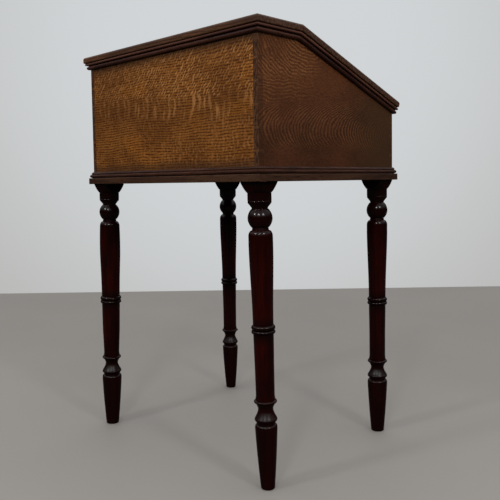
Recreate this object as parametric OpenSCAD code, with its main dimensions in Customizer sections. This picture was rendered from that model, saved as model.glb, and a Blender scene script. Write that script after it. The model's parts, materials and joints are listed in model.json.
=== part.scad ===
// Clerk's desk: a dovetailed oak case with a hinged writing slope, on four turned legs.
// Millimetres. X runs across the desk, Y from the sitter's side (-Y) to the tall back (+Y),
// Z up, with the origin on the floor under the middle of the desk.

/* [Overall] */
// Height from the floor to the flat top
desk_h = 1070; // [900:5:1250]
// Height of the legs, from the floor to the underside of the base
leg_h = 709; // [600:1:800]

/* [Case] */
// Width of the case over its side boards
case_w = 660; // [540:5:900]
// Depth of the case over its front and back boards
case_d = 535; // [460:5:700]
// Thickness of the side boards
side_t = 15; // [12:0.5:20]
// Thickness of the back board
back_t = 15; // [12:0.5:20]
// Thickness of the front board
front_t = 15; // [14:0.5:20]
// Thickness of the bottom boards
bottom_t = 10; // [6:0.5:14]
// Depth of the groove that holds the bottom boards
groove_depth = 5; // [3:0.5:7]
// Play of the bottom boards in their grooves
panel_play = 0.2; // [0.1:0.1:0.5]

/* [Dovetails] */
// Spacing of the dovetail pins
pin_pitch = 51; // [35:1:80]
// Width of a pin at its narrow outer end
pin_w = 5; // [3:0.5:10]
// Slope of the dovetails, in degrees
pin_slope = 9.5; // [7:0.5:14]

/* [Top and slope] */
// Thickness of the flat top and of the lid
top_t = 17; // [16:0.5:22]
// Slope of the lid, in degrees
slope = 19.7; // [14:0.1:22]
// Depth of the flat top, from the case's back face to the bend
flat_d = 141.5; // [100:0.5:200]
// Overhang of the flat top and lid, all round
top_over = 15; // [13:0.5:25]
// Radius of the nosing's upper edge
nose_r = 6; // [3:0.5:8]
// Radius of the nosing's lower edge
nose_low_r = 3; // [1:0.5:6]
// Gap between the flat top and the lid at the bend
bend_gap = 1; // [0.6:0.1:2]
// Gap under the closed lid
lid_gap = 0.3; // [0.2:0.1:1]
// Thickness of the tongues that join the lid boards
tongue_t = 5; // [3:0.5:7]
// Length of the tongues that join the lid boards
tongue_l = 6; // [4:0.5:10]
// Width of a lid batten
batten_w = 40; // [25:1:60]
// Thickness of a lid batten
batten_t = 12; // [8:0.5:16]
// Distance from the inside of a side board to a lid batten's middle
batten_in = 165; // [150:5:180]
// Space between a batten's end and the case or the bend
batten_end = 30; // [25:1:60]

/* [Top moulding] */
// Height of the double bead moulding under the top
crown_h = 18; // [16:0.5:24]
// Projection of the upper bead
crown_over = 12; // [10:0.5:13]
// Radius of the upper bead
crown_bead_r = 3.2; // [2.5:0.1:4]
// Projection of the lower bead
crown_low_over = 8.6; // [7:0.2:10]
// Radius of the lower bead
crown_low_r = 5; // [4:0.2:6]

/* [Base] */
// Height of the flat band round the base
band_h = 17; // [12:0.5:22]
// Projection of the band from the case
band_over = 10.5; // [9:0.5:15]
// Width of the band strips, seen from below
band_w = 22.5; // [18:0.5:26]
// Radius of the band's arrises
band_r = 1.5; // [0.5:0.5:3]
// Height of the bead moulding above the band
bead_h = 17; // [16:0.5:22]
// Projection of the bead
bead_over = 8.5; // [7:0.5:10]
// Radius of the bead
bead_r = 4.8; // [3:0.2:5]
// Projection of the bead moulding's upper part
bead_top_over = 5.2; // [4.6:0.2:7]
// Height of the bevel along the bead moulding's upper edge
bead_bevel = 4; // [2:0.5:4.5]
// Width of the base frame's rails
rail_w = 78; // [66:1:100]
// Length of the tenons on the base frame's side rails
tenon_l = 20; // [10:1:30]
// Thickness of the tenons on the base frame's side rails
tenon_t = 7; // [5:0.5:9]
// Side of the corner blocks that the legs are pegged into
corner_block = 70; // [56:1:90]
// Height of the corner blocks, up to the bottom boards
corner_block_h = 15; // [10:0.5:25]

/* [Legs] */
// Side of the square block at a leg's top
leg_block = 60; // [50:1:70]
// Diameter of the peg that joins a leg to the base
peg_d = 24; // [16:0.5:26]
// Space between the peg's end and the bottom boards
peg_play = 1; // [0.5:0.5:3]
// Height of the rounded underside of the block
block_drop = 25; // [20:1:32]
// Diameter of the collar under the block
collar_d = 55; // [48:0.5:58]
// Distance from the leg's top to the collar's lower edge
collar_drop = 47; // [44:1:52]
// Diameter of the necks above and below the ball
neck_d = 37; // [30:0.5:42]
// Distance from the leg's top to the upper neck
neck_drop = 61; // [57:1:64]
// Diameter of the ball
ball_d = 57; // [48:0.5:60]
// Height of the ball, from neck to neck
ball_h = 43; // [38:1:52]
// Greatest diameter of the shaft
shaft_d = 56.5; // [48:0.5:60]
// Height of the shaft's rounded shoulder
shoulder_h = 20; // [12:1:26]
// Distance from the leg's top to where the shaft starts to thin
swell_drop = 145; // [145:1:200]
// Diameter of the shaft above the double ring
waist_d = 47.5; // [36:0.5:50]
// Height of the double ring's middle above the floor
ring_at = 369.5; // [330:0.5:400]
// Height of the double ring
ring_h = 20; // [14:1:26]
// Height of the double ring's lower bead
ring_low_h = 8.5; // [5:0.5:11]
// Diameter of the double ring
ring_d = 56; // [46:0.5:58]
// Diameter of the shaft at its lower end
ankle_d = 43.5; // [34:0.5:46]
// Height of the ankle ring's edge above the floor
ankle_ring_at = 202; // [198:1:210]
// Diameter of the ankle ring and the bell below it
ankle_ring_d = 53.5; // [46:0.5:58]
// Height of the ankle's neck above the floor
ankle_neck_at = 182; // [180:1:186]
// Diameter of the ankle's neck
ankle_neck_d = 33.5; // [26:0.5:38]
// Height of the bell's widest part above the floor
bell_at = 163; // [161:1:166]
// Height of the groove under the bell
bell_groove_at = 151; // [149:1:153]
// Diameter of the groove under the bell
bell_groove_d = 44; // [38:0.5:46]
// Height of the foot's widest part above the floor
foot_at = 139; // [130:1:143]
// Diameter of the foot at its widest part
foot_d = 53.4; // [46:0.2:56]
// Diameter of the foot at the floor, over its rounded edge
foot_end_d = 34.5; // [28:0.5:40]
// Radius of the foot's rounded lower edge
foot_edge_r = 3; // [1:0.5:5]
// Swell of the foot beyond a straight taper
foot_swell = 0.8; // [0:0.1:2]
// Outward lean of the back legs, in degrees
back_lean = 1.25; // [0:0.05:2.5]

/* [Hinges] */
// Distance from the inside of a side board to a hinge's middle
hinge_in = 100; // [80:5:110]
// Length of a hinge
hinge_l = 60; // [50:1:75]
// Height of a hinge leaf below the pin's axis
leaf_h = 14; // [12:0.5:15]
// Thickness of a hinge leaf
leaf_t = 2; // [1.6:0.1:2.4]
// Diameter of a hinge knuckle
knuckle_d = 7; // [6:0.2:8]
// Diameter of a hinge pin
hinge_pin_d = 3; // [2:0.2:4]
// Clearance of a pin in its knuckles, on the radius
pin_fit = 0.05; // [0.02:0.01:0.1]
// Running gap between moving brass parts
brass_gap = 0.3; // [0.2:0.05:0.4]
// Spacing of the screws along a hinge
leaf_screw_pitch = 20; // [16:1:24]

/* [Screws] */
// Diameter of a screw's shank
screw_d = 2.6; // [2:0.1:3]
// Diameter of a screw's head
screw_head_d = 5; // [4:0.1:6]
// Length of the hinge screws
leaf_screw_l = 14; // [8:0.5:20]
// Length of the batten screws
batten_screw_l = 22; // [18:0.5:24]
// Diameter of a batten screw's head
batten_head_d = 8; // [6:0.5:9]
// Diameter of a batten screw's shank
batten_screw_d = 4; // [3:0.5:5]

/* [Lock] */
// Width of the lock
lock_w = 64; // [58:1:80]
// Depth of the lock in the front board
lock_d = 11.5; // [11:0.1:12]
// Thickness of the lock's plates
lock_t = 1.5; // [1.2:0.1:2]
// Travel of the bolt
bolt_travel = 6; // [5:0.5:7]
// Length of the bolt
bolt_l = 46; // [42:1:48]
// Thickness of the bolt
bolt_t = 2.4; // [2:0.1:2.8]
// Depth of the keyhole's axis below the slope at the board's inner face
key_drop = 40; // [38:0.5:46]
// Space below the keyhole's axis inside the lock
key_room = 10; // [9:0.5:14]
// Diameter of the key's shank
key_d = 4.4; // [3.6:0.1:5]
// Reach of the key's bit from its axis
key_reach = 7; // [6:0.1:7.5]
// Width of the key's bit, across
key_bit_w = 2; // [1.6:0.1:2.4]
// Length of the key's bit, along its shank
key_bit_l = 5; // [4:0.5:6]
// Length of the key outside the desk, up to its bow's middle
key_out = 17; // [15:1:30]
// Outer diameter of the key's bow
key_bow_d = 18; // [15:1:20]
// Thickness of the bow's ring
key_ring_d = 3.2; // [2.4:0.2:4]
// Width of the link plate's loops across the desk
loop_t = 2; // [1.6:0.1:2.4]
// Width of the link plate's loops along the slope
loop_w = 5.2; // [5:0.1:5.4]
// Reach of the loops below the lid
loop_reach = 8; // [7.5:0.5:8.5]
// Distance from the lock's middle to each loop
loop_x = 15; // [13:1:16]
// Side of the square hook that goes through a loop
hook = 1.9; // [1.6:0.1:2]
// Side of the square eye in a loop
eye = 3.2; // [3:0.1:3.4]
// Depth of the eye's middle below the lid
eye_depth = 5.2; // [5:0.1:5.4]

/* [Hidden] */

$fn = 48;
far = 2000;         // larger than the desk, for cutting
cut = 1;            // how far a cutting tool runs past a face
fillet = 1.5;       // small flat between two curves of a moulding or a turning
arc_steps = 8;      // straight steps in a rounded edge
turn_steps = 10;    // straight steps in a turned curve

// Case, outside and inside
half_w = case_w / 2;
half_d = case_d / 2;
in_x = half_w - side_t;
in_back = half_d - back_t;
in_front = -half_d + front_t;
case_z0 = leg_h + band_h;
case_z1 = desk_h - top_t;
bottom_z0 = case_z0 + corner_block_h;
bottom_z1 = bottom_z0 + bottom_t;

// The bend, where the flat top turns into the slope
bend_y = half_d - flat_d;
seat_drop = top_t + lid_gap;
lid_len = nose_r + (bend_y + half_d + top_over + nose_r * (sin(slope) - 1)) / cos(slope);

// Height of a plane that lies a given depth under the lid's upper face
function slope_z(y, depth) = desk_h - (bend_y - y) * tan(slope) - depth / cos(slope);

// Distance down the slope to a given place in Y, at a depth under the lid's upper face
function slope_s(y, depth) = (bend_y - y + depth * sin(slope)) / cos(slope);

// Where two planes, each a given depth under the flat top and the slope, meet
function bend_at(flat_depth, slope_depth) =
    bend_y - (flat_depth - slope_depth / cos(slope)) / tan(slope);
seat_bend_y = bend_at(top_t, seat_drop);

// Points of a rounded edge about a centre, from one angle to another
function arc(cx, cy, r, a0, a1, steps = arc_steps) = [
    for (i = [0 : steps]) let (a = a0 + (a1 - a0) * i / steps)
        [cx + r * cos(a), cy + r * sin(a)]
];

// Wood and metal colours
oak_quartered = [0.55, 0.35, 0.15];
oak_dark = [0.35, 0.21, 0.12];
oak_inner = [0.62, 0.45, 0.27];
moulding_brown = [0.20, 0.12, 0.08];
leg_brown = [0.13, 0.06, 0.04];
brass = [0.72, 0.56, 0.25];
iron = [0.35, 0.34, 0.33];

// Puts its children in the lid's frame: X across, Y down the slope from the bend,
// Z out of the lid's upper face
module on_slope() {
    translate([0, bend_y, desk_h]) rotate([180 + slope, 0, 0]) mirror([0, 0, 1]) children();
}

// Extrudes an outline drawn in Y and Z along X, over a width about the middle
module across(width) {
    rotate([90, 0, 90]) translate([0, 0, -width / 2]) linear_extrude(width) children();
}

// Case boards

// Side board's outline in Y and Z: level under the flat top, then down the slope
module side_outline(y0, y1) {
    polygon([
        [y0, case_z0], [y1, case_z0], [y1, case_z1], [seat_bend_y, case_z1],
        [y0, slope_z(y0, seat_drop)]
    ]);
}

// Everything under the flat top and the closed lid
module under_top() {
    across(case_w + 2 * cut) side_outline(-half_d - cut, half_d + cut);
}

// The pins of one corner, at the right end of the back board, over a height
module pins(board_t, z1) {
    flare = board_t * tan(pin_slope);
    narrow = pin_w / 2;
    count = floor((z1 - case_z0 - pin_w) / pin_pitch);
    translate([in_x - cut, 0, 0]) rotate([90, 0, 90]) linear_extrude(side_t + cut)
        for (i = [0 : count]) translate([0, case_z0 + i * pin_pitch])
            polygon([
                [-board_t, -narrow - flare], [-board_t, narrow + flare],
                [0, narrow], [0, -narrow]
            ]);
}

// All four rows of pins, as they lie in the corners of the case
module all_pins() {
    intersection() {
        union() {
            for (side = [0, 1]) mirror([side, 0, 0]) {
                translate([0, half_d, 0]) pins(back_t, case_z1);
                translate([0, -half_d, 0]) mirror([0, 1, 0])
                    pins(front_t, slope_z(-half_d, seat_drop));
            }
        }
        under_top();
    }
}

// The groove round the inside of the case for the bottom boards
module bottom_groove() {
    reach_x = in_x + groove_depth;
    reach_back = in_back + groove_depth;
    reach_front = in_front - groove_depth;
    translate([-reach_x, reach_front, bottom_z0])
        cube([2 * reach_x, reach_back - reach_front, bottom_t + panel_play]);
}

module back_board() {
    color(oak_quartered) difference() {
        union() {
            translate([-in_x, in_back, case_z0]) cube([2 * in_x, back_t, case_z1 - case_z0]);
            intersection() {
                all_pins();
                translate([-far / 2, 0, 0]) cube(far);
            }
        }
        bottom_groove();
    }
}

module front_board() {
    color(oak_dark) difference() {
        union() {
            intersection() {
                translate([-in_x, -half_d, case_z0]) cube([2 * in_x, front_t, far]);
                under_top();
            }
            intersection() {
                all_pins();
                translate([-far / 2, -far, 0]) cube(far);
            }
        }
        bottom_groove();
        lock_mortise();
        keyhole(key_d / 2 + 2 * brass_gap, key_reach + 2 * brass_gap);
        keyhole_pin_holes();
    }
}

module side_board(side) {
    color(oak_dark) difference() {
        intersection() {
            translate([side * (half_w - side_t / 2), 0, 0])
                across(side_t) side_outline(-half_d, half_d);
            under_top();
        }
        all_pins();
        bottom_groove();
    }
}

module left_side_board() {
    side_board(-1);
}

module right_side_board() {
    side_board(1);
}

// One of the boards that make the floor of the well, counted from the front
bottom_boards = 3;
module bottom_board(index) {
    x = in_x + groove_depth - panel_play;
    y0 = in_front - groove_depth + panel_play;
    y1 = in_back + groove_depth - panel_play;
    width = (y1 - y0) / bottom_boards;
    color(oak_inner) translate([-x, y0 + index * width, bottom_z0])
        cube([2 * x, width, bottom_t]);
}

module bottom_board_front() {
    bottom_board(0);
}

module bottom_board_middle() {
    bottom_board(1);
}

module bottom_board_rear() {
    bottom_board(2);
}

// Flat top and lid

// Outline of a nosing, from the upper face round to the lower one
function nosing(reach) = concat(
    arc(reach - nose_r, -nose_r, nose_r, 90, 0),
    arc(reach - nose_low_r, nose_low_r - top_t, nose_low_r, 0, -90)
);

// The nosed slab of the flat top or the lid, in a frame with Y outwards from the bend
// and Z out of its upper face
module nosed_slab(length) {
    right = nosing(half_w + top_over);
    left = [for (i = [len(right) - 1 : -1 : 0]) [-right[i][0], right[i][1]]];
    intersection() {
        across(case_w + far) polygon(concat([[-far, 0]], nosing(length), [[-far, -top_t]]));
        rotate([90, 0, 0]) linear_extrude(4 * far, center = true) polygon(concat(right, left));
    }
}

// Half space on the lid's side of the plane that halves the bend, past an offset
module lid_side(offset_from_bend) {
    translate([0, bend_y, desk_h]) rotate([slope / 2, 0, 0])
        translate([-far / 2, -far - offset_from_bend, -far / 2]) cube(far);
}

// Puts its children at the bend: Z up along the halving plane, Y towards the back
module at_bend() {
    translate([0, bend_y, desk_h]) rotate([slope / 2, 0, 0]) children();
}

module top_board() {
    color(oak_dark) difference() {
        translate([0, bend_y, desk_h]) nosed_slab(flat_d + top_over);
        lid_side(-bend_gap / 2);
        hinge_seats(1);
    }
}

// The lid as one slab, before it is divided into boards
module lid_slab() {
    difference() {
        intersection() {
            on_slope() nosed_slab(lid_len);
            lid_side(bend_gap / 2);
        }
        hinge_seats(-1);
    }
}

// One lid board between two joints: a tongue on its upper edge, a groove in its lower one
lid_boards = 3;
lid_board_w = lid_len / lid_boards;
module lid_board_space(index) {
    y0 = index * lid_board_w;
    start = index == 0 ? -far : y0;
    end = index == lid_boards - 1 ? far : y0 + lid_board_w;
    tongue_z = -top_t / 2 - tongue_t / 2;
    difference() {
        union() {
            translate([-far / 2, start, -far / 2]) cube([far, end - start, far]);
            if (index > 0)
                translate([-far / 2, y0 - tongue_l, tongue_z])
                    cube([far, tongue_l + cut, tongue_t]);
        }
        if (index < lid_boards - 1)
            translate([-far, y0 + lid_board_w - tongue_l, tongue_z])
                cube([2 * far, tongue_l + cut, tongue_t]);
    }
}

module lid_board(index) {
    color(oak_dark) difference() {
        intersection() {
            lid_slab();
            on_slope() lid_board_space(index);
        }
        batten_screws_at() screw_space(batten_screw_d, batten_head_d, batten_screw_l);
        link_plate_seat();
        link_screws_at() screw_space(screw_d, screw_head_d, link_screw_l);
    }
}

module lid_board_upper() {
    lid_board(0);
}

module lid_board_middle() {
    lid_board(1);
}

module lid_board_lower() {
    lid_board(2);
}

// Battens across the lid boards, inside the case when the lid is shut
batten_x = in_x - batten_in;
batten_y0 = batten_end;
batten_y1 = slope_s(in_front, top_t) - batten_end;
batten_screw_rows = 3;

module lid_batten(side) {
    color(oak_inner) difference() {
        on_slope() translate([side * batten_x - batten_w / 2, batten_y0, -top_t - batten_t])
            cube([batten_w, batten_y1 - batten_y0, batten_t]);
        batten_screws_at() screw_space(batten_screw_d, batten_head_d, batten_screw_l);
    }
}

module lid_batten_left() {
    lid_batten(-1);
}

module lid_batten_right() {
    lid_batten(1);
}

// Screws

// A countersunk screw that points along +Z, with its head's face at z = 0
module screw(shank_d, head_d, length) {
    head_h = (head_d - shank_d) / 2;
    cylinder(h = head_h, d1 = head_d, d2 = shank_d);
    cylinder(h = length, d = shank_d);
}

// The space that a screw fills, open on its head's side
module screw_space(shank_d, head_d, length) {
    screw(shank_d, head_d, length);
    translate([0, 0, -cut]) cylinder(h = cut, d = head_d);
}

// Children at each batten screw, pointing up into the lid
module batten_screws_at() {
    pitch = (batten_y1 - batten_y0) / batten_screw_rows;
    on_slope() for (side = [-1, 1]) for (row = [0 : batten_screw_rows - 1])
        translate([side * batten_x, batten_y0 + (row + 0.5) * pitch, -top_t - batten_t])
            children();
}

module batten_screws() {
    color(brass) batten_screws_at() screw(batten_screw_d, batten_head_d, batten_screw_l);
}

// Top moulding

// The double bead in section: first value out from the case, second down from its top
crown_bead_x = crown_over - crown_bead_r;
crown_low_x = crown_low_over - crown_low_r;
crown_low_y = crown_h - crown_low_r;
crown_quirk_y = 2 * crown_bead_r;
crown_points = concat(
    [[0, 0], [crown_bead_x, 0]],
    arc(crown_bead_x, crown_bead_r, crown_bead_r, -90, 90),
    [[crown_low_x, crown_quirk_y]],
    arc(crown_low_x, crown_low_y, crown_low_r, -75, 90),
    [[0, crown_h]]
);

// Moulding along X on the back, drawn past both ends, for mitring
module crown_along_x(y_face, tilt) {
    facing = sign(y_face);
    top_z = tilt == 0 ? case_z1 : slope_z(y_face, seat_drop);
    across(far) polygon([
        for (p = crown_points)
            [y_face + facing * p[0], top_z - p[1] / cos(tilt) - p[0] * tan(tilt)]
    ]);
}

// The corner wedge outside one end of the case, on one side of the 45 degree mitres
module end_wedge(side) {
    linear_extrude(far) polygon([
        [side * (half_w - half_d), 0], [side * (half_w + far), half_d + far],
        [side * (half_w + far), -half_d - far]
    ]);
}

module top_moulding_back() {
    color(moulding_brown) difference() {
        crown_along_x(half_d, 0);
        end_wedge(-1);
        end_wedge(1);
    }
}

module top_moulding_front() {
    color(moulding_brown) difference() {
        crown_along_x(-half_d, slope);
        end_wedge(-1);
        end_wedge(1);
    }
}

// Half space behind the plane that halves the bend of the side mouldings
module behind_bend() {
    seat_y = seat_bend_y;
    translate([0, seat_y, case_z1]) rotate([slope / 2, 0, 0])
        translate([-far / 2, 0, -far / 2]) cube(far);
}

module crown_section(side) {
    polygon([for (p = crown_points) [side * (half_w + p[0]), -p[1]]]);
}

module top_moulding_flat(side) {
    color(moulding_brown) intersection() {
        translate([0, 0, case_z1]) rotate([90, 0, 0])
            linear_extrude(far, center = true) crown_section(side);
        end_wedge(side);
        behind_bend();
    }
}

module top_moulding_slope(side) {
    color(moulding_brown) difference() {
        intersection() {
            translate([0, seat_bend_y, case_z1]) rotate([90 + slope, 0, 0])
                linear_extrude(far, center = true) crown_section(side);
            end_wedge(side);
        }
        behind_bend();
    }
}

module top_moulding_left_flat() {
    top_moulding_flat(-1);
}

module top_moulding_right_flat() {
    top_moulding_flat(1);
}

module top_moulding_left_slope() {
    top_moulding_slope(-1);
}

module top_moulding_right_slope() {
    top_moulding_slope(1);
}

// Base: bead moulding, band, frame and corner blocks

// The bead moulding in section: out from the case, up from the band
bead_x = bead_over - bead_r;
bead_y = bead_r + fillet / 2;
bead_quirk_y = bead_y + bead_r;
bead_points = concat(
    [[0, 0], [bead_x, 0]],
    arc(bead_x, bead_y, bead_r, -90, 75),
    [[bead_x, bead_quirk_y + fillet / 2], [bead_top_over, bead_quirk_y + fillet]],
    [[bead_top_over, bead_h - bead_bevel], [bead_top_over - fillet * 2, bead_h], [0, bead_h]]
);

module base_moulding_x(facing) {
    color(moulding_brown) difference() {
        translate([0, 0, case_z0]) across(far) polygon([
            for (p = bead_points) [facing * (half_d + p[0]), p[1]]
        ]);
        end_wedge(-1);
        end_wedge(1);
    }
}

module base_moulding_y(side) {
    color(moulding_brown) intersection() {
        translate([0, 0, case_z0]) rotate([90, 0, 0]) linear_extrude(far, center = true)
            polygon([for (p = bead_points) [side * (half_w + p[0]), p[1]]]);
        end_wedge(side);
    }
}

module base_moulding_back() {
    base_moulding_x(1);
}

module base_moulding_front() {
    base_moulding_x(-1);
}

module base_moulding_left() {
    base_moulding_y(-1);
}

module base_moulding_right() {
    base_moulding_y(1);
}

// The band in section, with its outer face at x = 0
module band_section() {
    polygon(concat(
        arc(-band_r, band_r, band_r, -90, 0),
        arc(-band_r, band_h - band_r, band_r, 0, 90),
        [[-band_w, band_h], [-band_w, 0]]
    ));
}

// Front and back bands run through, and show their ends at the sides
module base_band_x(facing) {
    color(moulding_brown) translate([0, facing * (half_d + band_over), leg_h])
        mirror([0, facing < 0 ? 1 : 0, 0]) across(2 * (half_w + band_over)) band_section();
}

module base_band_y(side) {
    length = 2 * (half_d + band_over - band_w);
    color(moulding_brown) translate([side * (half_w + band_over), 0, leg_h])
        mirror([side < 0 ? 1 : 0, 0, 0]) rotate([90, 0, 0])
            linear_extrude(length, center = true) band_section();
}

module base_band_back() {
    base_band_x(1);
}

module base_band_front() {
    base_band_x(-1);
}

module base_band_left() {
    base_band_y(-1);
}

module base_band_right() {
    base_band_y(1);
}

// Base frame inside the bands: the front and back rails run through, and the side rails
// are tenoned into them
frame_x = half_w + band_over - band_w;
frame_y = half_d + band_over - band_w;
leg_x = half_w - leg_block / 2;
leg_y = half_d - leg_block / 2;
tenon_w = rail_w / 2;

// Children in a leg's own frame: Z up along the leg, from the middle of its upper end
module at_leg(side, facing) {
    lean = facing > 0 ? back_lean : 0;
    translate([side * leg_x, facing * leg_y, leg_h]) rotate([0, -side * lean, 0]) children();
}

// A leg's peg, from below the leg's upper end, which is also its bore's shape
module peg(side, facing, top) {
    at_leg(side, facing) translate([0, 0, -cut]) cylinder(h = top - leg_h + cut, d = peg_d);
}

// The tenon of a side rail, which is also its mortise's shape
module rail_tenon(side, facing) {
    length = tenon_l + cut;
    translate([side * (frame_x - rail_w / 2) - tenon_w / 2,
        facing * (frame_y - rail_w - cut + length / 2) - length / 2,
        leg_h + (band_h - tenon_t) / 2])
        cube([tenon_w, length, tenon_t]);
}

module base_rail_x(facing) {
    color(oak_inner) difference() {
        translate([-frame_x, facing * (frame_y - rail_w / 2) - rail_w / 2, leg_h])
            cube([2 * frame_x, rail_w, band_h]);
        for (side = [-1, 1]) rail_tenon(side, facing);
        for (side = [-1, 1]) peg(side, facing, case_z0 + cut);
    }
}

module base_rail_y(side) {
    length = 2 * (frame_y - rail_w);
    color(oak_inner) union() {
        translate([side * (frame_x - rail_w / 2) - rail_w / 2, -length / 2, leg_h])
            cube([rail_w, length, band_h]);
        for (facing = [-1, 1]) rail_tenon(side, facing);
    }
}

module base_rail_back() {
    base_rail_x(1);
}

module base_rail_front() {
    base_rail_x(-1);
}

module base_rail_left() {
    base_rail_y(-1);
}

module base_rail_right() {
    base_rail_y(1);
}

// A block glued into a corner of the case over the frame, bored for the leg's peg
module corner_block_at(side, facing) {
    inner_y = facing > 0 ? in_back : -in_front;
    color(oak_inner) difference() {
        translate([side * (in_x - corner_block / 2) - corner_block / 2,
            facing * (inner_y - corner_block / 2) - corner_block / 2, case_z0])
            cube([corner_block, corner_block, corner_block_h]);
        peg(side, facing, bottom_z0 + cut);
    }
}

module corner_block_back_left() {
    corner_block_at(-1, 1);
}

module corner_block_back_right() {
    corner_block_at(1, 1);
}

module corner_block_front_left() {
    corner_block_at(-1, -1);
}

module corner_block_front_right() {
    corner_block_at(1, -1);
}

// Blocks rubbed into the angle under the flat top
glue_block = 20;
glue_block_l = 60;

module glue_block_shape() {
    rotate([0, 90, 0]) linear_extrude(glue_block_l, center = true)
        polygon([[0, 0], [glue_block, 0], [0, -glue_block]]);
}

module top_glue_blocks() {
    color(oak_inner) {
        for (place = [-1 : 1]) translate([place * in_x / 2, in_back, case_z1])
            glue_block_shape();
        for (side = [-1, 1]) translate([side * in_x, (in_back + bend_y) / 2, case_z1])
            rotate([0, 0, -side * 90]) glue_block_shape();
    }
}

// Legs

// Turned curve between two heights. ease 0 is a straight taper, 1 starts and ends level,
// as a swelling shaft does
function taper(z0, d0, z1, d1, ease = 0, bulge = 0, steps = turn_steps) = [
    for (i = [0 : steps]) let (t = i / steps, s = (1 - cos(180 * t)) / 2)
        [(d0 + (d1 - d0) * (ease * s + (1 - ease) * t)) / 2 + bulge * sin(180 * t),
         z0 + (z1 - z0) * t]
];

// Turned bead or ball between two heights, round like a power of a sine
function bead(z0, z1, root_d, d, round = 0.5, steps = turn_steps) = [
    for (i = [0 : steps]) let (t = i / steps)
        [root_d / 2 + (d - root_d) / 2 * pow(max(sin(180 * t), 0), round),
         z0 + (z1 - z0) * t]
];

// Quarter curve that leaves the first diameter upright and reaches the second level
function shoulder(z0, d0, z1, d1, steps = turn_steps) = [
    for (i = [0 : steps]) let (a = 90 * i / steps)
        [d1 / 2 + (d0 - d1) / 2 * cos(a), z0 + (z1 - z0) * sin(a)]
];

// Outline of the turning, from the floor up, before the block is squared. It runs past
// both ends, where the leg is trimmed level
trim = 3;                   // length left on for trimming
line_h = 3;                 // height of the narrow beads and flats
quirk = 0.5;                // depth of a small step on the radius
bell_r = 5;                 // radius of the bell's rounded edge
bell_flat = 2;              // half height of the bell's upright part
ankle_ring_r = 3;           // radius of the ankle ring's rounded edge
ankle_cove_h = 15;          // height of the cove above the ankle ring
shaft_ease = 0.95;          // how level the shaft's swelling starts and ends
ankle_ease = 0.3;           // the same for the lower shaft
ring_round = 0.6;           // roundness of the double ring's upper bead
ball_round = 0.7;           // roundness of the ball
block_power = 0.45;         // roundness of the block's underside
block_corner = leg_block * sqrt(2) + fillet;
cap_z = leg_h - collar_drop;
neck_z = leg_h - neck_drop;
shaft_top = neck_z - ball_h;
shoulder_z = shaft_top - shoulder_h;
swell_z = leg_h - swell_drop;
ring_z0 = ring_at - ring_h / 2;
ring_z1 = ring_at + ring_h / 2;
ring_split = ring_z0 + ring_low_h;
foot_round = foot_end_d / 2 - foot_edge_r;

leg_points = concat(
    [[0, -trim], [foot_round, -trim]],
    arc(foot_round, foot_edge_r, foot_edge_r, -90, -10),
    taper(foot_edge_r + quirk, foot_end_d, foot_at, foot_d, 0, foot_swell),
    shoulder(foot_at + line_h, foot_d, bell_groove_at - fillet, bell_groove_d),
    [[bell_groove_d / 2, bell_groove_at + fillet]],
    arc(ankle_ring_d / 2 - bell_r, bell_at - bell_flat, bell_r, -60, 50),
    shoulder(bell_at + bell_flat, ankle_ring_d - 2 * fillet, ankle_neck_at - fillet, ankle_neck_d),
    [[ankle_neck_d / 2, ankle_neck_at + fillet]],
    taper(ankle_neck_at + 2 * fillet + quirk, ankle_neck_d + 2 * fillet,
        ankle_ring_at - line_h, ankle_ring_d - 2 * quirk),
    arc(ankle_ring_d / 2 - ankle_ring_r, ankle_ring_at, ankle_ring_r, -30, 60),
    [[ankle_d / 2, ankle_ring_at + ankle_cove_h]],
    taper(ankle_ring_at + ankle_cove_h + fillet, ankle_d, ring_z0 - fillet, waist_d, ankle_ease),
    bead(ring_z0, ring_split, waist_d + 2 * quirk, ring_d),
    [[ring_d / 2 - fillet, ring_split]],
    bead(ring_split + quirk, ring_z1, waist_d + 2 * quirk, ring_d, ring_round),
    taper(ring_z1 + fillet, waist_d + quirk, swell_z, shaft_d, shaft_ease),
    shoulder(shoulder_z, shaft_d - quirk, shaft_top - 2 * line_h, neck_d + 4 * quirk),
    bead(shaft_top, neck_z, neck_d, ball_d, ball_round, 2 * turn_steps),
    [[neck_d / 2 + quirk, neck_z + line_h], [collar_d / 2 - quirk, cap_z - 2 * quirk]],
    bead(cap_z, cap_z + line_h, collar_d - 2 * quirk, collar_d),
    [[collar_d / 2 - quirk, cap_z + line_h + quirk], [collar_d / 2, cap_z + line_h + fillet]],
    [for (i = [0 : turn_steps]) let (t = pow(i / turn_steps, 2))
        [collar_d / 2 + (block_corner - collar_d) / 2 * pow(t, block_power),
         leg_h - block_drop * (1 - t)]],
    [[block_corner / 2, leg_h + trim], [0, leg_h + trim]]
);

// The turning with its block squared, in the leg's own frame
module turned_leg() {
    translate([0, 0, -leg_h]) intersection() {
        rotate_extrude($fn = 64) polygon(leg_points);
        translate([-leg_block / 2, -leg_block / 2, -trim])
            cube([leg_block, leg_block, leg_h + 2 * trim]);
    }
}

// A leg trimmed level with the floor and the base, with its peg
module leg_at(side, facing) {
    color(leg_brown) union() {
        intersection() {
            at_leg(side, facing) turned_leg();
            translate([-far / 2, -far / 2, 0]) cube([far, far, leg_h]);
        }
        peg(side, facing, bottom_z0 - peg_play);
    }
}

module leg_back_left() {
    leg_at(-1, 1);
}

module leg_back_right() {
    leg_at(1, 1);
}

module leg_front_left() {
    leg_at(-1, -1);
}

module leg_front_right() {
    leg_at(1, -1);
}

// Hinges: pins lie on the bend's upper edge, with each leaf let into the wood beside it

hinge_x = in_x - hinge_in;
knuckles = 5;
knuckle_l = hinge_l / knuckles;
leaf_screws = 3;
leaf_screw_z = -leaf_h / 2 - 1;

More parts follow.
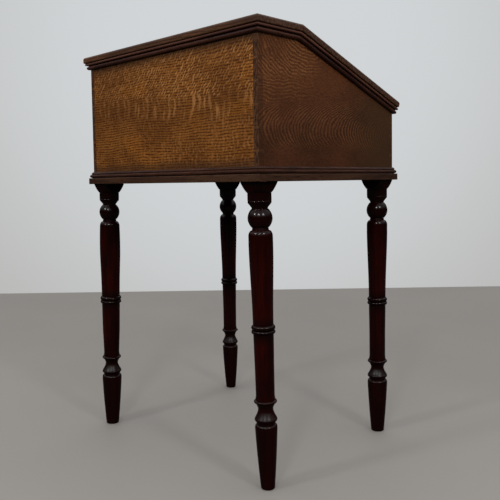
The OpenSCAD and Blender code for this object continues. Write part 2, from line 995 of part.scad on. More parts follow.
// Children at each hinge of the pair
module at_hinges() {
    for (side = [-1, 1]) translate([side * hinge_x, 0, 0]) children();
}

// The space of every other knuckle, the first being number start
module knuckle_space(start, d, gap) {
    for (i = [start : 2 : knuckles - 1])
        translate([-hinge_l / 2 + i * knuckle_l + gap, 0, 0]) rotate([0, 90, 0])
            cylinder(h = knuckle_l - 2 * gap, d = d);
}

// A leaf with its knuckles, in the bend's frame. part is 1 for the flat top's, -1 for
// the lid's
module leaf(part) {
    own = part > 0 ? 0 : 1;
    gap = brass_gap / 2;
    difference() {
        union() {
            difference() {
                translate([-hinge_l / 2, part > 0 ? gap : -leaf_t, -leaf_h])
                    cube([hinge_l, leaf_t - gap, leaf_h]);
                knuckle_space(1 - own, knuckle_d + 2 * brass_gap, -gap);
            }
            knuckle_space(own, knuckle_d, gap);
        }
        translate([-hinge_l, 0, 0]) rotate([0, 90, 0])
            cylinder(h = 2 * hinge_l, d = hinge_pin_d + 2 * pin_fit);
        leaf_screws_at(part) screw_space(screw_d, screw_head_d, leaf_screw_l);
    }
}

// Children at each screw of one leaf, pointing into the wood
module leaf_screws_at(part) {
    for (i = [0 : leaf_screws - 1])
        translate([(i - (leaf_screws - 1) / 2) * leaf_screw_pitch, part * brass_gap / 2,
            leaf_screw_z])
            rotate([-part * 90, 0, 0]) children();
}

// What the wood loses to both hinges on one side of the bend
module hinge_seats(part) {
    gap = brass_gap / 2;
    at_bend() at_hinges() {
        translate([-hinge_l / 2, part > 0 ? -cut : -leaf_t, -leaf_h])
            cube([hinge_l, leaf_t + cut, leaf_h + cut]);
        translate([-hinge_l / 2 - gap, 0, 0]) rotate([0, 90, 0])
            cylinder(h = hinge_l + 2 * gap, d = knuckle_d + 2 * brass_gap);
        leaf_screws_at(part) screw_space(screw_d, screw_head_d, leaf_screw_l);
    }
}

module hinge_leaf(side, part) {
    color(brass) at_bend() translate([side * hinge_x, 0, 0]) leaf(part);
}

module hinge_left_top_leaf() {
    hinge_leaf(-1, 1);
}

module hinge_right_top_leaf() {
    hinge_leaf(1, 1);
}

module hinge_left_lid_leaf() {
    hinge_leaf(-1, -1);
}

module hinge_right_lid_leaf() {
    hinge_leaf(1, -1);
}

module hinge_pin(side) {
    color(brass) at_bend() translate([side * hinge_x - hinge_l / 2, 0, 0])
        rotate([0, 90, 0]) cylinder(h = hinge_l, d = hinge_pin_d);
}

module hinge_left_pin() {
    hinge_pin(-1);
}

module hinge_right_pin() {
    hinge_pin(1);
}

module hinge_screws(part) {
    color(brass) at_bend() at_hinges()
        leaf_screws_at(part) screw(screw_d, screw_head_d, leaf_screw_l);
}

module hinge_top_screws() {
    hinge_screws(1);
}

module hinge_lid_screws() {
    hinge_screws(-1);
}

// Lock: let into the front board's inner face, with its bolt sliding along X

lock_y1 = in_front;
lock_y0 = in_front - lock_d;
key_z = slope_z(in_front, seat_drop) - key_drop;
lock_z0 = key_z - key_room;
bolt_y = lock_y0 + lock_d / 2;
loop_s = slope_s(bolt_y, top_t + eye_depth);
eye_z = slope_z(bolt_y, top_t + eye_depth);
talon_h = 2;
talon_w = 2 * (key_reach - talon_h) + key_bit_w;
bolt_z0 = key_z + key_reach - talon_h + 2 * brass_gap;
bolt_z1 = slope_z(bolt_y - bolt_t / 2, top_t + loop_reach) - 2 * brass_gap;
stud_d = 3;
stud_x = [-16, 14];
stud_z = (bolt_z0 + talon_h + bolt_z1) / 2;
hook_gap = 0.7;
hook_l = bolt_travel - hook_gap + 2 * brass_gap;
lock_screw_l = 9;
lock_screw_in = 6;
link_screw_l = 10;
link_screw_x = 24;

// The lock's outer space: a box under the slope. open lets it run past the board's
// inner face and its sloping edge
module lock_space(open = 0) {
    intersection() {
        translate([-lock_w / 2, lock_y0, lock_z0]) cube([lock_w, lock_d + open, far]);
        under_slope(seat_drop - open);
    }
}

// Everything lower than a depth under the lid's upper face
module under_slope(depth) {
    across(case_w) polygon([
        [-far, 0], [far, 0], [far, slope_z(far, depth)], [-far, slope_z(-far, depth)]
    ]);
}

module lock_mortise() {
    lock_space(cut);
    lock_screws_at() screw_space(screw_d, screw_head_d, lock_screw_l);
}

// A keyhole from the front into the lock: a round hole and a slot below it
module keyhole(radius, reach) {
    length = half_d + far / 4 + bolt_y;
    slot = key_bit_w + 2 * brass_gap;
    translate([0, -half_d - far / 4, key_z]) {
        rotate([-90, 0, 0]) cylinder(h = length, r = radius);
        translate([-slot / 2, 0, -reach]) cube([slot, length, reach]);
    }
}

// Children at each link plate loop, at the lid's underside, Z down into the lock
module loops_at() {
    on_slope() for (side = [-1, 1]) translate([side * loop_x, loop_s, -top_t])
        mirror([0, 0, 1]) children();
}

module lock_case() {
    inner_w = lock_w - 2 * lock_t;
    slot_x = loop_t + 4 * brass_gap;
    slot_y = loop_w + 5 * brass_gap;
    color(brass) union() {
        difference() {
            lock_space();
            // The cavity, open towards the wood at the front
            intersection() {
                translate([-inner_w / 2, lock_y0 - cut, lock_z0 + lock_t])
                    cube([inner_w, lock_d - lock_t + cut, far]);
                under_slope(seat_drop + lock_t);
            }
            // Slots for the loops in the top plate
            loops_at() translate([-slot_x / 2, -slot_y / 2, -cut])
                cube([slot_x, slot_y, lid_gap + lock_t + 2 * cut]);
            // Bearing for the key's tip
            translate([0, lock_y1 - lock_t - cut, key_z]) rotate([-90, 0, 0])
                cylinder(h = lock_t + 2 * cut, d = key_d + 2 * pin_fit);
            lock_screws_at() screw_space(screw_d, screw_head_d, lock_screw_l);
        }
        // Studs that the bolt slides on
        for (x = stud_x) translate([x, bolt_y - bolt_t / 2, stud_z]) rotate([-90, 0, 0])
            cylinder(h = lock_y1 - lock_t / 2 - bolt_y + bolt_t / 2, d = stud_d);
    }
}

// Children at each lock screw, pointing from the well into the front board
module lock_screws_at() {
    for (side = [-1, 1])
        translate([side * (lock_w / 2 - lock_screw_in), lock_y1, lock_z0 + lock_screw_in])
            rotate([90, 0, 0]) children();
}

module lock_screws() {
    color(brass) lock_screws_at() screw(screw_d, screw_head_d, lock_screw_l);
}

// The bolt, drawn back: a plate on two studs, with a hook beside each loop and a talon
// that the key's bit passes through
module lock_bolt() {
    slot_h = stud_d + 2 * pin_fit;
    left = -(bolt_l + bolt_travel) / 2;
    color(iron) translate([0, bolt_y, 0]) difference() {
        union() {
            translate([left, -bolt_t / 2, bolt_z0]) cube([bolt_l, bolt_t, bolt_z1 - bolt_z0]);
            for (side = [-1, 1]) {
                tip = side * loop_x - loop_t / 2 - hook_gap;
                translate([tip - hook_l - hook, -bolt_t / 2, bolt_z1 - cut])
                    cube([hook, bolt_t, eye_z + hook / 2 - bolt_z1 + cut]);
                translate([tip - hook_l - hook, -hook / 2, eye_z - hook / 2])
                    cube([hook_l + hook, hook, hook]);
            }
        }
        for (x = stud_x) translate([x, 0, stud_z]) rotate([90, 0, 0])
            linear_extrude(bolt_t + 2 * cut, center = true) union() {
                circle(d = slot_h);
                translate([-bolt_travel, 0]) circle(d = slot_h);
                translate([-bolt_travel, -slot_h / 2]) square([bolt_travel, slot_h]);
            }
        translate([-(bolt_travel + talon_w) / 2, -bolt_t, bolt_z0 - cut])
            cube([talon_w, 2 * bolt_t, talon_h + cut]);
    }
}

// Key: shank along Y, bit inside the lock, pointing down as it goes in
module key() {
    tip_y = lock_y1;
    bow_y = -half_d - key_out;
    shank_y = bow_y + key_bow_d / 2 - key_ring_d / 2;
    collar_y = -half_d - plate_t - 4 * brass_gap;
    collar_l = 2;
    color(iron) union() {
        translate([0, shank_y, key_z]) rotate([-90, 0, 0])
            cylinder(h = tip_y - shank_y, d = key_d);
        translate([-key_bit_w / 2, bolt_y - key_bit_l / 2, key_z - key_reach])
            cube([key_bit_w, key_bit_l, key_reach]);
        translate([0, bow_y, key_z]) rotate([0, 90, 0]) rotate_extrude()
            translate([(key_bow_d - key_ring_d) / 2, 0]) circle(d = key_ring_d, $fn = 24);
        translate([0, collar_y - collar_l, key_z]) rotate([-90, 0, 0])
            cylinder(h = collar_l, d = key_d + 2);
    }
}

// Plate round the keyhole on the front board, with its two round-headed pins
plate_t = 1.2;
plate_w = 18;
plate_h = 27;
plate_drop = 2;
plate_pin_in = 2.5;
plate_z = key_z - plate_drop;
plate_pin_z = plate_h / 2 - plate_pin_in;
plate_pin_d = 1.6;
plate_pin_l = 4;

module keyhole_pins_at() {
    for (side = [-1, 1]) translate([0, -half_d - plate_t, plate_z + side * plate_pin_z])
        rotate([-90, 0, 0]) children();
}

module keyhole_pin_holes() {
    keyhole_pins_at() cylinder(h = plate_pin_l, d = plate_pin_d);
}

module keyhole_plate() {
    r = plate_w / 2;
    color(brass) difference() {
        translate([0, -half_d, plate_z]) rotate([90, 0, 0]) linear_extrude(plate_t) union() {
            translate([0, plate_h / 2 - r]) circle(r);
            translate([0, r - plate_h / 2]) circle(r);
            translate([-r, r - plate_h / 2]) square([2 * r, plate_h - 2 * r]);
        }
        keyhole(key_d / 2 + brass_gap, key_reach + brass_gap);
        keyhole_pin_holes();
    }
}

module keyhole_plate_pins() {
    color(brass) keyhole_pins_at() {
        cylinder(h = plate_pin_l, d = plate_pin_d);
        rotate_extrude() intersection() {
            translate([0, plate_pin_d / 2]) circle(d = 2 * plate_pin_d);
            translate([0, -plate_pin_d]) square(plate_pin_d);
        }
    }
}

// Link plate: let into the lid's underside, with two loops that the bolt hooks
link_w = 58;
link_d = 12;
link_t = 1.6;

module link_plate_seat() {
    on_slope() translate([-link_w / 2, loop_s - link_d / 2, -top_t - cut])
        cube([link_w, link_d, link_t + cut]);
}

// Children at each link plate screw, pointing up into the lid
module link_screws_at() {
    on_slope() for (side = [-1, 1]) translate([side * link_screw_x, loop_s, -top_t])
        children();
}

module link_plate() {
    color(brass) difference() {
        union() {
            on_slope() translate([-link_w / 2, loop_s - link_d / 2, -top_t])
                cube([link_w, link_d, link_t]);
            loops_at() translate([-loop_t / 2, -loop_w / 2, -link_t])
                cube([loop_t, loop_w, loop_reach + link_t]);
        }
        // Eyes for the bolt's hooks
        loops_at() translate([-loop_t, -eye / 2, eye_depth - eye / 2])
            cube([2 * loop_t, eye, eye]);
        link_screws_at() screw_space(screw_d, screw_head_d, link_screw_l);
    }
}

module link_plate_screws() {
    color(brass) link_screws_at() screw(screw_d, screw_head_d, link_screw_l);
}

back_board();
left_side_board();
right_side_board();
front_board();
bottom_board_front();
bottom_board_middle();
bottom_board_rear();
top_board();
top_moulding_back();
top_moulding_front();
top_moulding_left_flat();
top_moulding_right_flat();
top_moulding_left_slope();
top_moulding_right_slope();
base_moulding_back();
base_moulding_front();
base_moulding_left();
base_moulding_right();
base_band_back();
base_band_front();
base_band_left();
base_band_right();
base_rail_back();
base_rail_front();
base_rail_left();
base_rail_right();
corner_block_back_left();
corner_block_back_right();
corner_block_front_left();
corner_block_front_right();
leg_back_left();
leg_back_right();
leg_front_left();
leg_front_right();
top_glue_blocks();
hinge_left_top_leaf();
hinge_right_top_leaf();
hinge_left_pin();
hinge_right_pin();
hinge_top_screws();
hinge_left_lid_leaf();
hinge_right_lid_leaf();
hinge_lid_screws();
lid_board_upper();
lid_board_middle();
lid_board_lower();
lid_batten_left();
lid_batten_right();
batten_screws();
lock_case();
lock_screws();
lock_bolt();
link_plate();
link_plate_screws();
keyhole_plate();
keyhole_plate_pins();
key();
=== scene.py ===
"""A clerk's desk on a plain pale floor, seen from behind its left back corner."""
import json
import math

import bmesh
import bpy
from mathutils import Matrix, Vector

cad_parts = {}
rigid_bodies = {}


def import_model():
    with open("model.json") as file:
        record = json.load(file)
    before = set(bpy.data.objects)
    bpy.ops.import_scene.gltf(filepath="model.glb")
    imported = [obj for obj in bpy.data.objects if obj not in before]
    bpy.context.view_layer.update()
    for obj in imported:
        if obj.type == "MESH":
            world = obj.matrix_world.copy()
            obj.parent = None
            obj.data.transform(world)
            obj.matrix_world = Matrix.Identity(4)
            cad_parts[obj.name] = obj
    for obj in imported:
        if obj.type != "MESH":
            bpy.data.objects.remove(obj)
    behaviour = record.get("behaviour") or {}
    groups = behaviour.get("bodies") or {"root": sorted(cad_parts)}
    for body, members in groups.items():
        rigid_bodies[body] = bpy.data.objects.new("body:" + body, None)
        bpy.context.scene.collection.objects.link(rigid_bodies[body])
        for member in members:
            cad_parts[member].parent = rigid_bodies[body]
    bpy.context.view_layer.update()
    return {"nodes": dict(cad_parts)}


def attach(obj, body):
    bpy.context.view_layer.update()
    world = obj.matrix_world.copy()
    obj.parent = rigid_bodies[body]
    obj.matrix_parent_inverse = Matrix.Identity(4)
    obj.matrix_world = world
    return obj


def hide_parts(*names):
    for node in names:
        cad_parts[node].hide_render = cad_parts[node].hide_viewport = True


for thing in list(bpy.data.objects):
    bpy.data.objects.remove(thing)
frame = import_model()
nodes = frame["nodes"]

MM = 0.001


# The legs' sizes in millimetres, the CAD's but for the ankle, which is turned finer. _D is a
# diameter, _R a radius, _H a height, _AT a height over the floor and _DROP one below the top.

LEG_H, BLOCK, BLOCK_DROP, PEG_D, PEG_TOP = 709, 60, 25, 24, 750
COLLAR_D, COLLAR_DROP, NECK_D, NECK_DROP = 55, 47, 37, 61
BALL_D, BALL_H, SHAFT_D, SHOULDER_H, SWELL_DROP, WAIST_D = 57, 43, 56.5, 20, 145, 47.5
RING_AT, RING_H, RING_LOW_H, RING_D, ANKLE_D = 369.5, 20, 8.5, 56, 43.5
ANKLE_RING_AT, ANKLE_RING_D, ANKLE_NECK_AT, ANKLE_NECK_D = 202, 53.5, 184.5, 35.2
BELL_AT, BELL_GROOVE_AT, BELL_GROOVE_D = 163, 151, 44
FOOT_AT, FOOT_D, FOOT_END_D, FOOT_EDGE_R, FOOT_SWELL = 139, 53.4, 34.5, 3, 0.8
BELL_R, BELL_FLAT, ANKLE_RING_R, ANKLE_COVE_H = 5, 2, 3.2, 15
TRIM, LINE_H, QUIRK, FILLET = 3, 3, 0.5, 1.5
LEG_X, LEG_Y = 300, 237.5
BACK_LEAN = math.radians(1.25)
LEG_SEGMENTS = 96
SMOOTH_BELOW = math.radians(38)

# How each hand-turned leg differs, in millimetres: the rise of its ankle, ring and ball, and
# the gain in radius of its foot and its shaft
TURNED = {
    "leg_back_left": (2.5, 2.0, -0.5, -0.8, -0.3),
    "leg_back_right": (-3.0, 1.5, 1.5, 1.0, 1.8),
    "leg_front_left": (-2.5, 1.5, -1.5, 0.5, -0.8),
    "leg_front_right": (-2.5, 0.5, 0.0, -1.0, -0.6),
}
# How far the shaft's own gain keeps from the ankle ring below it and the swell above it
SHAFT_FROM_ANKLE, SHAFT_FROM_SWELL = 80, 60


# Camera, at the photograph's place and angle

AZIMUTH, PITCH, ROLL = (math.radians(a) for a in (224.41, 3.65, -0.85))
CAMERA_PLACE = Vector((-1338.62, 1328.87, 708.57)) * MM
PICTURE_PX = 500
FOCAL_PX = 663.0
CENTRE_ROW = 224.26
SENSOR = 36.0


def add_camera():
    """A camera at the photograph's place, whose picture is PICTURE_PX wide and high."""
    back = Vector((
        math.sin(AZIMUTH) * math.cos(PITCH),
        -math.cos(AZIMUTH) * math.cos(PITCH),
        math.sin(PITCH),
    ))
    right = (-back).cross(Vector((0, 0, 1))).normalized()
    up = right.cross(-back)
    rolled_right = math.cos(ROLL) * right + math.sin(ROLL) * up
    rolled_up = math.cos(ROLL) * up - math.sin(ROLL) * right
    data = bpy.data.cameras.new("camera")
    data.sensor_width = SENSOR
    data.lens = FOCAL_PX / PICTURE_PX * SENSOR
    data.shift_y = (CENTRE_ROW - PICTURE_PX / 2) / PICTURE_PX
    data.dof.use_dof = False
    camera = bpy.data.objects.new("camera", data)
    bpy.context.collection.objects.link(camera)
    matrix = Matrix((rolled_right, rolled_up, back)).transposed().to_4x4()
    matrix.translation = CAMERA_PLACE
    camera.matrix_world = matrix
    bpy.context.scene.camera = camera


# Node graphs

SHEEN = "Specular IOR Level"


class Graph:
    """The nodes of a material or a world. Values are numbers, tuples or nodes' outputs."""

    def __init__(self, owner):
        self.owner = owner
        owner.use_nodes = True
        self.tree = owner.node_tree
        self.tree.nodes.clear()
        coordinates = self.node("ShaderNodeTexCoord").outputs
        self.place = coordinates["Object"]
        self.facing = coordinates["Normal"]
        self.towards = coordinates["Generated"]

    def node(self, kind, inputs=(), **settings):
        """A new node with its settings, and its inputs by name or number."""
        made = self.tree.nodes.new(kind)
        for key, value in settings.items():
            setattr(made, key, value)
        for key, value in dict(inputs).items():
            self.put(made.inputs[key], value)
        return made

    def put(self, socket, value):
        """Links an output to a socket, or sets the socket's own value."""
        if isinstance(value, bpy.types.NodeSocket):
            self.tree.links.new(value, socket)
        elif isinstance(value, tuple) and len(value) == 3 and socket.type == "RGBA":
            socket.default_value = (*value, 1)
        else:
            socket.default_value = value

    def math(self, operation, a, b=0.0, c=0.0):
        return self.node("ShaderNodeMath", {0: a, 1: b, 2: c}, operation=operation).outputs[0]

    def add(self, a, b):
        return self.math("ADD", a, b)

    def less(self, a, b):
        return self.math("SUBTRACT", a, b)

    def times(self, *values):
        product = values[0]
        for value in values[1:]:
            product = self.math("MULTIPLY", product, value)
        return product

    def size(self, value):
        return self.math("ABSOLUTE", value)

    def most(self, a, b):
        return self.math("MAXIMUM", a, b)

    def range(self, value, low, high, to_low=0.0, to_high=1.0):
        """value between low and high, spread smoothly from to_low to to_high."""
        sockets = {"Value": value, "From Min": low, "From Max": high,
                   "To Min": to_low, "To Max": to_high}
        made = self.node("ShaderNodeMapRange", sockets, interpolation_type="SMOOTHSTEP")
        return made.outputs["Result"]

    def parts(self, vector):
        """The three numbers of a vector."""
        return self.node("ShaderNodeSeparateXYZ", {0: vector}).outputs

    def vector(self, x=0.0, y=0.0, z=0.0):
        return self.node("ShaderNodeCombineXYZ", {0: x, 1: y, 2: z}).outputs[0]

    def stretch(self, at, scale=(1, 1, 1), shift=(0, 0, 0), turn=(0, 0, 0)):
        """A place scaled, turned in degrees about X, Y and Z, and shifted."""
        sockets = {"Vector": at, "Scale": scale, "Location": shift,
                   "Rotation": tuple(math.radians(a) for a in turn)}
        return self.node("ShaderNodeMapping", sockets).outputs["Vector"]

    def noise(self, at, scale=1.0, detail=2.0, rough=0.5, warp=0.0):
        sockets = {"Vector": at, "Scale": scale, "Detail": detail,
                   "Roughness": rough, "Distortion": warp}
        return self.node("ShaderNodeTexNoise", sockets).outputs["Fac"]

    def drift(self, at, scale, reach, detail=2.0):
        """A slow wandering, up to about reach either way."""
        return self.times(self.less(self.noise(at, scale, detail), 0.5), 3.0 * reach)

    def wave(self, value, pitch):
        """Even waves of a pitch, from 0 to 1."""
        turned = self.math("SINE", self.times(value, 2 * math.pi / pitch))
        return self.math("MULTIPLY_ADD", turned, 0.5, 0.5)

    def hidden(self, distance, inside=False):
        """How much of the sky a point loses to what is near it: 0 open, 1 closed. inside
        looks into the wood, which is 0 in a thick piece and more at its arrises."""
        made = self.node("ShaderNodeAmbientOcclusion", {"Distance": distance},
                         samples=8, inside=inside, only_local=inside)
        return self.less(1.0, made.outputs["AO"])

    def blend(self, share, a, b):
        """Number a with a share of number b in it."""
        return self.add(a, self.times(share, self.less(b, a)))

    def mix(self, share, a, b):
        """Colour a with a share of colour b over it."""
        made = self.node("ShaderNodeMix", {"Factor": share}, data_type="RGBA")
        self.put(made.inputs[6], a)
        self.put(made.inputs[7], b)
        return made.outputs[2]

    def layered(self, colour, *layers):
        """A colour under layers, each of which is a mask, the mask's share and a colour."""
        for mask, share, over in layers:
            colour = self.mix(self.times(mask, share), colour, over)
        return colour

    def tinted(self, colour, strength):
        """A colour made brighter or darker by a number about 1."""
        even = self.vector(strength, strength, strength)
        made = self.node("ShaderNodeVectorMath", {0: colour, 1: even}, operation="MULTIPLY")
        return made.outputs[0]

    def finish(self, colour, rough, height=None, bump=0.0002, **shader):
        """The shader and its output. height is in shares of bump, in metres."""
        sockets = {"Base Color": colour, "Roughness": rough, **shader}
        if height is not None:
            sockets["Normal"] = self.node(
                "ShaderNodeBump", {"Height": height, "Distance": bump, "Strength": 1.0}
            ).outputs["Normal"]
        shade = self.node("ShaderNodeBsdfPrincipled", sockets)
        self.node("ShaderNodeOutputMaterial", {"Surface": shade.outputs[0]})
        return self.owner


def material_graph(name):
    return Graph(bpy.data.materials.new(name))


def shade_and_dirt(g, colour, dark, distance=0.012, share=0.7):
    """A colour darkened in its corners and under what stands near it, by how closed in it is:
    partly old polish and soiling gathered there, partly painted shade.
    """
    corner = g.range(g.hidden(distance), 0.30, 0.85)
    return g.mix(g.times(corner, share), colour, dark)


def rubbed(g, colour, pale, distance=0.0022, share=0.5):
    """A colour worn paler along the arrises, in patches."""
    arris = g.range(g.hidden(distance, inside=True), 0.45, 0.75)
    patches = g.range(g.noise(g.place, 22.0, 3.0), 0.42, 0.60)
    return g.mix(g.times(arris, patches, share), colour, pale)


def speckle(g, reach):
    """A fine unevenness of a colour's brightness about 1."""
    return g.add(1.0, g.drift(g.place, 220.0, reach, 3.0))


# Oaks. Sizes and heights are in metres, colours in linear light, and "ground" is the darkest
# and the palest tone of a wood before its lines.

OAK_BUMP = 0.00012
OAK_SHEEN = 0.06
OAK_CORNER = 0.014              # how far the painted shade and soiling reach out of a corner

# The back board: its edges at the mouldings, and half the length between the side boards
BACK_TOP, BACK_FOOT, BACK_JOINT = 1.034, 0.748, 0.315
FLECK_LEAN = math.radians(50)
UPRIGHT_FLECKS_TOP = 0.918, 0.928       # where they fade into the slanted ones
UPRIGHT_FLECKS_END = 0.884, 0.868       # where they fade into the broken ones
QUARTERED = {
    "ground": ((0.110, 0.0370, 0.0055), (0.165, 0.0590, 0.0095)),
    "glow": (0.240, 0.0820, 0.0080),
    "middle": (0.066, 0.0225, 0.0040),
    "ring": (0.040, 0.0092, 0.0006),
    "pore": (0.040, 0.0110, 0.0015),
    "fleck": (0.310, 0.1400, 0.0460),
    # Along the mouldings: a duller band that is also painted shade, and a near-black painted
    # shadow under the top moulding
    "dull_and_shade": (0.030, 0.0130, 0.0060),
    "edge": (0.008, 0.0035, 0.0018),
    # Painted shade with some soiling, for corners and the wood under the mouldings
    "dirt_and_shade": (0.014, 0.0070, 0.0035),
    "joint": (0.062, 0.0260, 0.0110),
    "end": (0.040, 0.0160, 0.0075),
}

# The side boards: the level of the arches' tips, the middle of the arcs, the pitches of the
# lines and the joint with the back board
ARCH_LEVEL, ARCH_PITCH = 0.828, 0.0118
ARC_Y, ARC_Z, ARC_PITCH = 0.095, 1.080, 0.0080
SIDE_JOINT = 0.2525
FLOWING = {
    "ground": ((0.047, 0.0160, 0.0064), (0.070, 0.0236, 0.0098)),
    "warm": (0.086, 0.0260, 0.0072),
    "low": (0.016, 0.0052, 0.0022),
    "gap": (0.016, 0.0055, 0.0022),
    "line": (0.165, 0.0660, 0.0210),
    "pore": (0.016, 0.0048, 0.0018),
    "green": (0.030, 0.0170, 0.0078),
    "joint": (0.026, 0.0100, 0.0045),
    # Painted shade with some soiling, for corners and the wood under the mouldings
    "dirt_and_shade": (0.008, 0.0040, 0.0022),
    "end": ((0.020, 0.0085, 0.0040), (0.070, 0.0290, 0.0140)),
}

SAWN_PITCH = 0.0080
SAWN = {
    "ground": ((0.038, 0.0139, 0.0056), (0.078, 0.0297, 0.0108)),
    "line": (0.022, 0.0075, 0.0030),
    "pore": (0.016, 0.0065, 0.0035),
    "worn": (0.150, 0.0800, 0.0420),
    # Painted shade with some soiling, for corners and the wood under the mouldings
    "dirt_and_shade": (0.010, 0.0050, 0.0030),
    "end": ((0.022, 0.0085, 0.0045), (0.074, 0.0320, 0.0170)),
}


def flecks(g, along, across, length, pitch, seed, soft=0.35):
    """Ray flecks: wavy stripes a pitch apart, broken to about a length each, from 0 to 1."""
    sway = g.noise(g.vector(g.times(along, 0.8 / length), g.times(across, 0.4 / pitch), seed))
    stripe = g.wave(g.add(across, g.times(sway, 2.4 * pitch)), pitch)
    run = g.vector(g.times(along, 1.1 / length), g.times(across, 0.9 / pitch), seed + 3)
    breaks = g.noise(run, 1.0, 3.0, 0.6)
    return g.times(g.range(stripe, soft, 0.95), g.range(breaks, 0.42, 0.58))


def growth_rings(g, x, z):
    """Dark lines along X that wander and break, from 0 to 1."""
    slow = g.drift(g.vector(g.times(x, 3.0), 0.0, g.times(z, 8.0)), 1.0, 0.010)
    shaky = g.drift(g.vector(g.times(x, 28.0), 5.0, g.times(z, 60.0)), 1.0, 0.0016)
    rings = g.wave(g.add(z, g.add(slow, shaky)), 0.0066)
    dashes = g.noise(g.vector(g.times(x, 44.0), 2.0, g.times(z, 160.0)), 1.0, 3.0, 0.7)
    return g.times(g.range(rings, 0.30, 0.95), g.range(dashes, 0.36, 0.54, 0.12, 1.0))


def ray_flecks(g, x, z, level):
    """Pale flecks, slanted in the upper part, upright below it and then broken, by level."""
    rise, run = math.sin(FLECK_LEAN), math.cos(FLECK_LEAN)
    up = g.less(g.times(z, rise), g.times(x, run))
    aside = g.add(g.times(z, run), g.times(x, rise))
    slanted = flecks(g, up, aside, 0.017, 0.0088, 1.0)
    bowed = g.add(x, g.drift(g.vector(g.times(x, 6.0), 4.0, g.times(z, 16.0)), 1.0, 0.008))
    upright = flecks(g, z, bowed, 0.070, 0.0220, 11.0, 0.15)
    low = flecks(g, g.add(z, g.times(x, 0.3)), x, 0.014, 0.0120, 21.0, 0.2)
    fleck = g.blend(g.range(level, *UPRIGHT_FLECKS_END), g.times(upright, 0.65),
                    g.times(low, 0.30))
    fleck = g.blend(g.range(level, *UPRIGHT_FLECKS_TOP), fleck, slanted)
    uneven = g.range(g.noise(g.place, 9.0, 2.0), 0.34, 0.54, 0.45, 1.0)
    fading = g.range(x, 0.26, -0.10, 0.60, 1.0)
    return g.times(fleck, uneven, fading)


def quartered_oak(name):
    """Quarter-sawn oak in the XZ plane, its grain along X: dark lines of growth rings with
    pale ray flecks over them, a duller band that is also painted shade along the mouldings,
    a near-black painted shadow right under the top moulding, dark where its pins come through."""
    g = material_graph(name)
    x, _, z = g.parts(g.place)
    rings = growth_rings(g, x, z)
    level = g.less(g.add(z, g.drift(g.place, 6.0, 0.016)), g.times(x, 0.050))
    fleck = ray_flecks(g, x, z, level)
    rings = g.times(rings, g.less(1.0, g.times(fleck, 0.40)))
    run = g.vector(g.times(x, 60.0), 7.0, g.times(z, 700.0))
    pores = g.range(g.noise(run, 1.0, 2.0), 0.52, 0.36)
    tone = g.range(g.noise(g.stretch(g.place, (9, 9, 13)), 1.0, 3.0), 0.36, 0.64)
    glow = g.range(g.noise(g.stretch(g.place, (7, 3, 12), (4, 1, 2)), 1.0, 2.0), 0.54, 0.68)
    middle = g.range(g.size(g.less(level, 0.895)), 0.050, 0.020)
    colour = g.layered(
        g.mix(tone, *QUARTERED["ground"]),
        (glow, 0.50, QUARTERED["glow"]),
        (middle, 0.35, QUARTERED["middle"]),
        (rings, 0.96, QUARTERED["ring"]),
        (pores, 0.35, QUARTERED["pore"]),
        (fleck, 0.80, QUARTERED["fleck"]),
    )
    colour = g.tinted(colour, speckle(g, 0.42))

    # Painted shade: darker bands under the top moulding and over the base moulding, partly duller
    # polish, and a near-black painted shadow right under the top moulding
    dull_and_shade = g.most(g.range(z, BACK_TOP - 0.034, BACK_TOP), g.range(z, BACK_FOOT + 0.022, BACK_FOOT))
    edge = g.range(z, BACK_TOP - 0.016, BACK_TOP + 0.002)
    colour = g.layered(colour, (dull_and_shade, 0.62, QUARTERED["dull_and_shade"]), (edge, 0.55, QUARTERED["edge"]))
    # Painted shade with some soiling: darker in corners and under the mouldings
    colour = shade_and_dirt(g, colour, QUARTERED["dirt_and_shade"], OAK_CORNER)
    joint = g.range(g.size(x), BACK_JOINT - 0.0001, BACK_JOINT + 0.0001)
    end = g.range(g.size(g.parts(g.facing)[0]), 0.5, 0.6)
    colour = g.layered(colour, (joint, 0.85, QUARTERED["joint"]), (end, 0.90, QUARTERED["end"]))
    rough = g.range(fleck, 0.0, 1.0, 0.50, 0.38)
    height = g.add(g.times(g.most(rings, pores), -0.7), g.times(fleck, 0.4))
    return g.finish(colour, rough, height, OAK_BUMP, **{SHEEN: OAK_SHEEN})


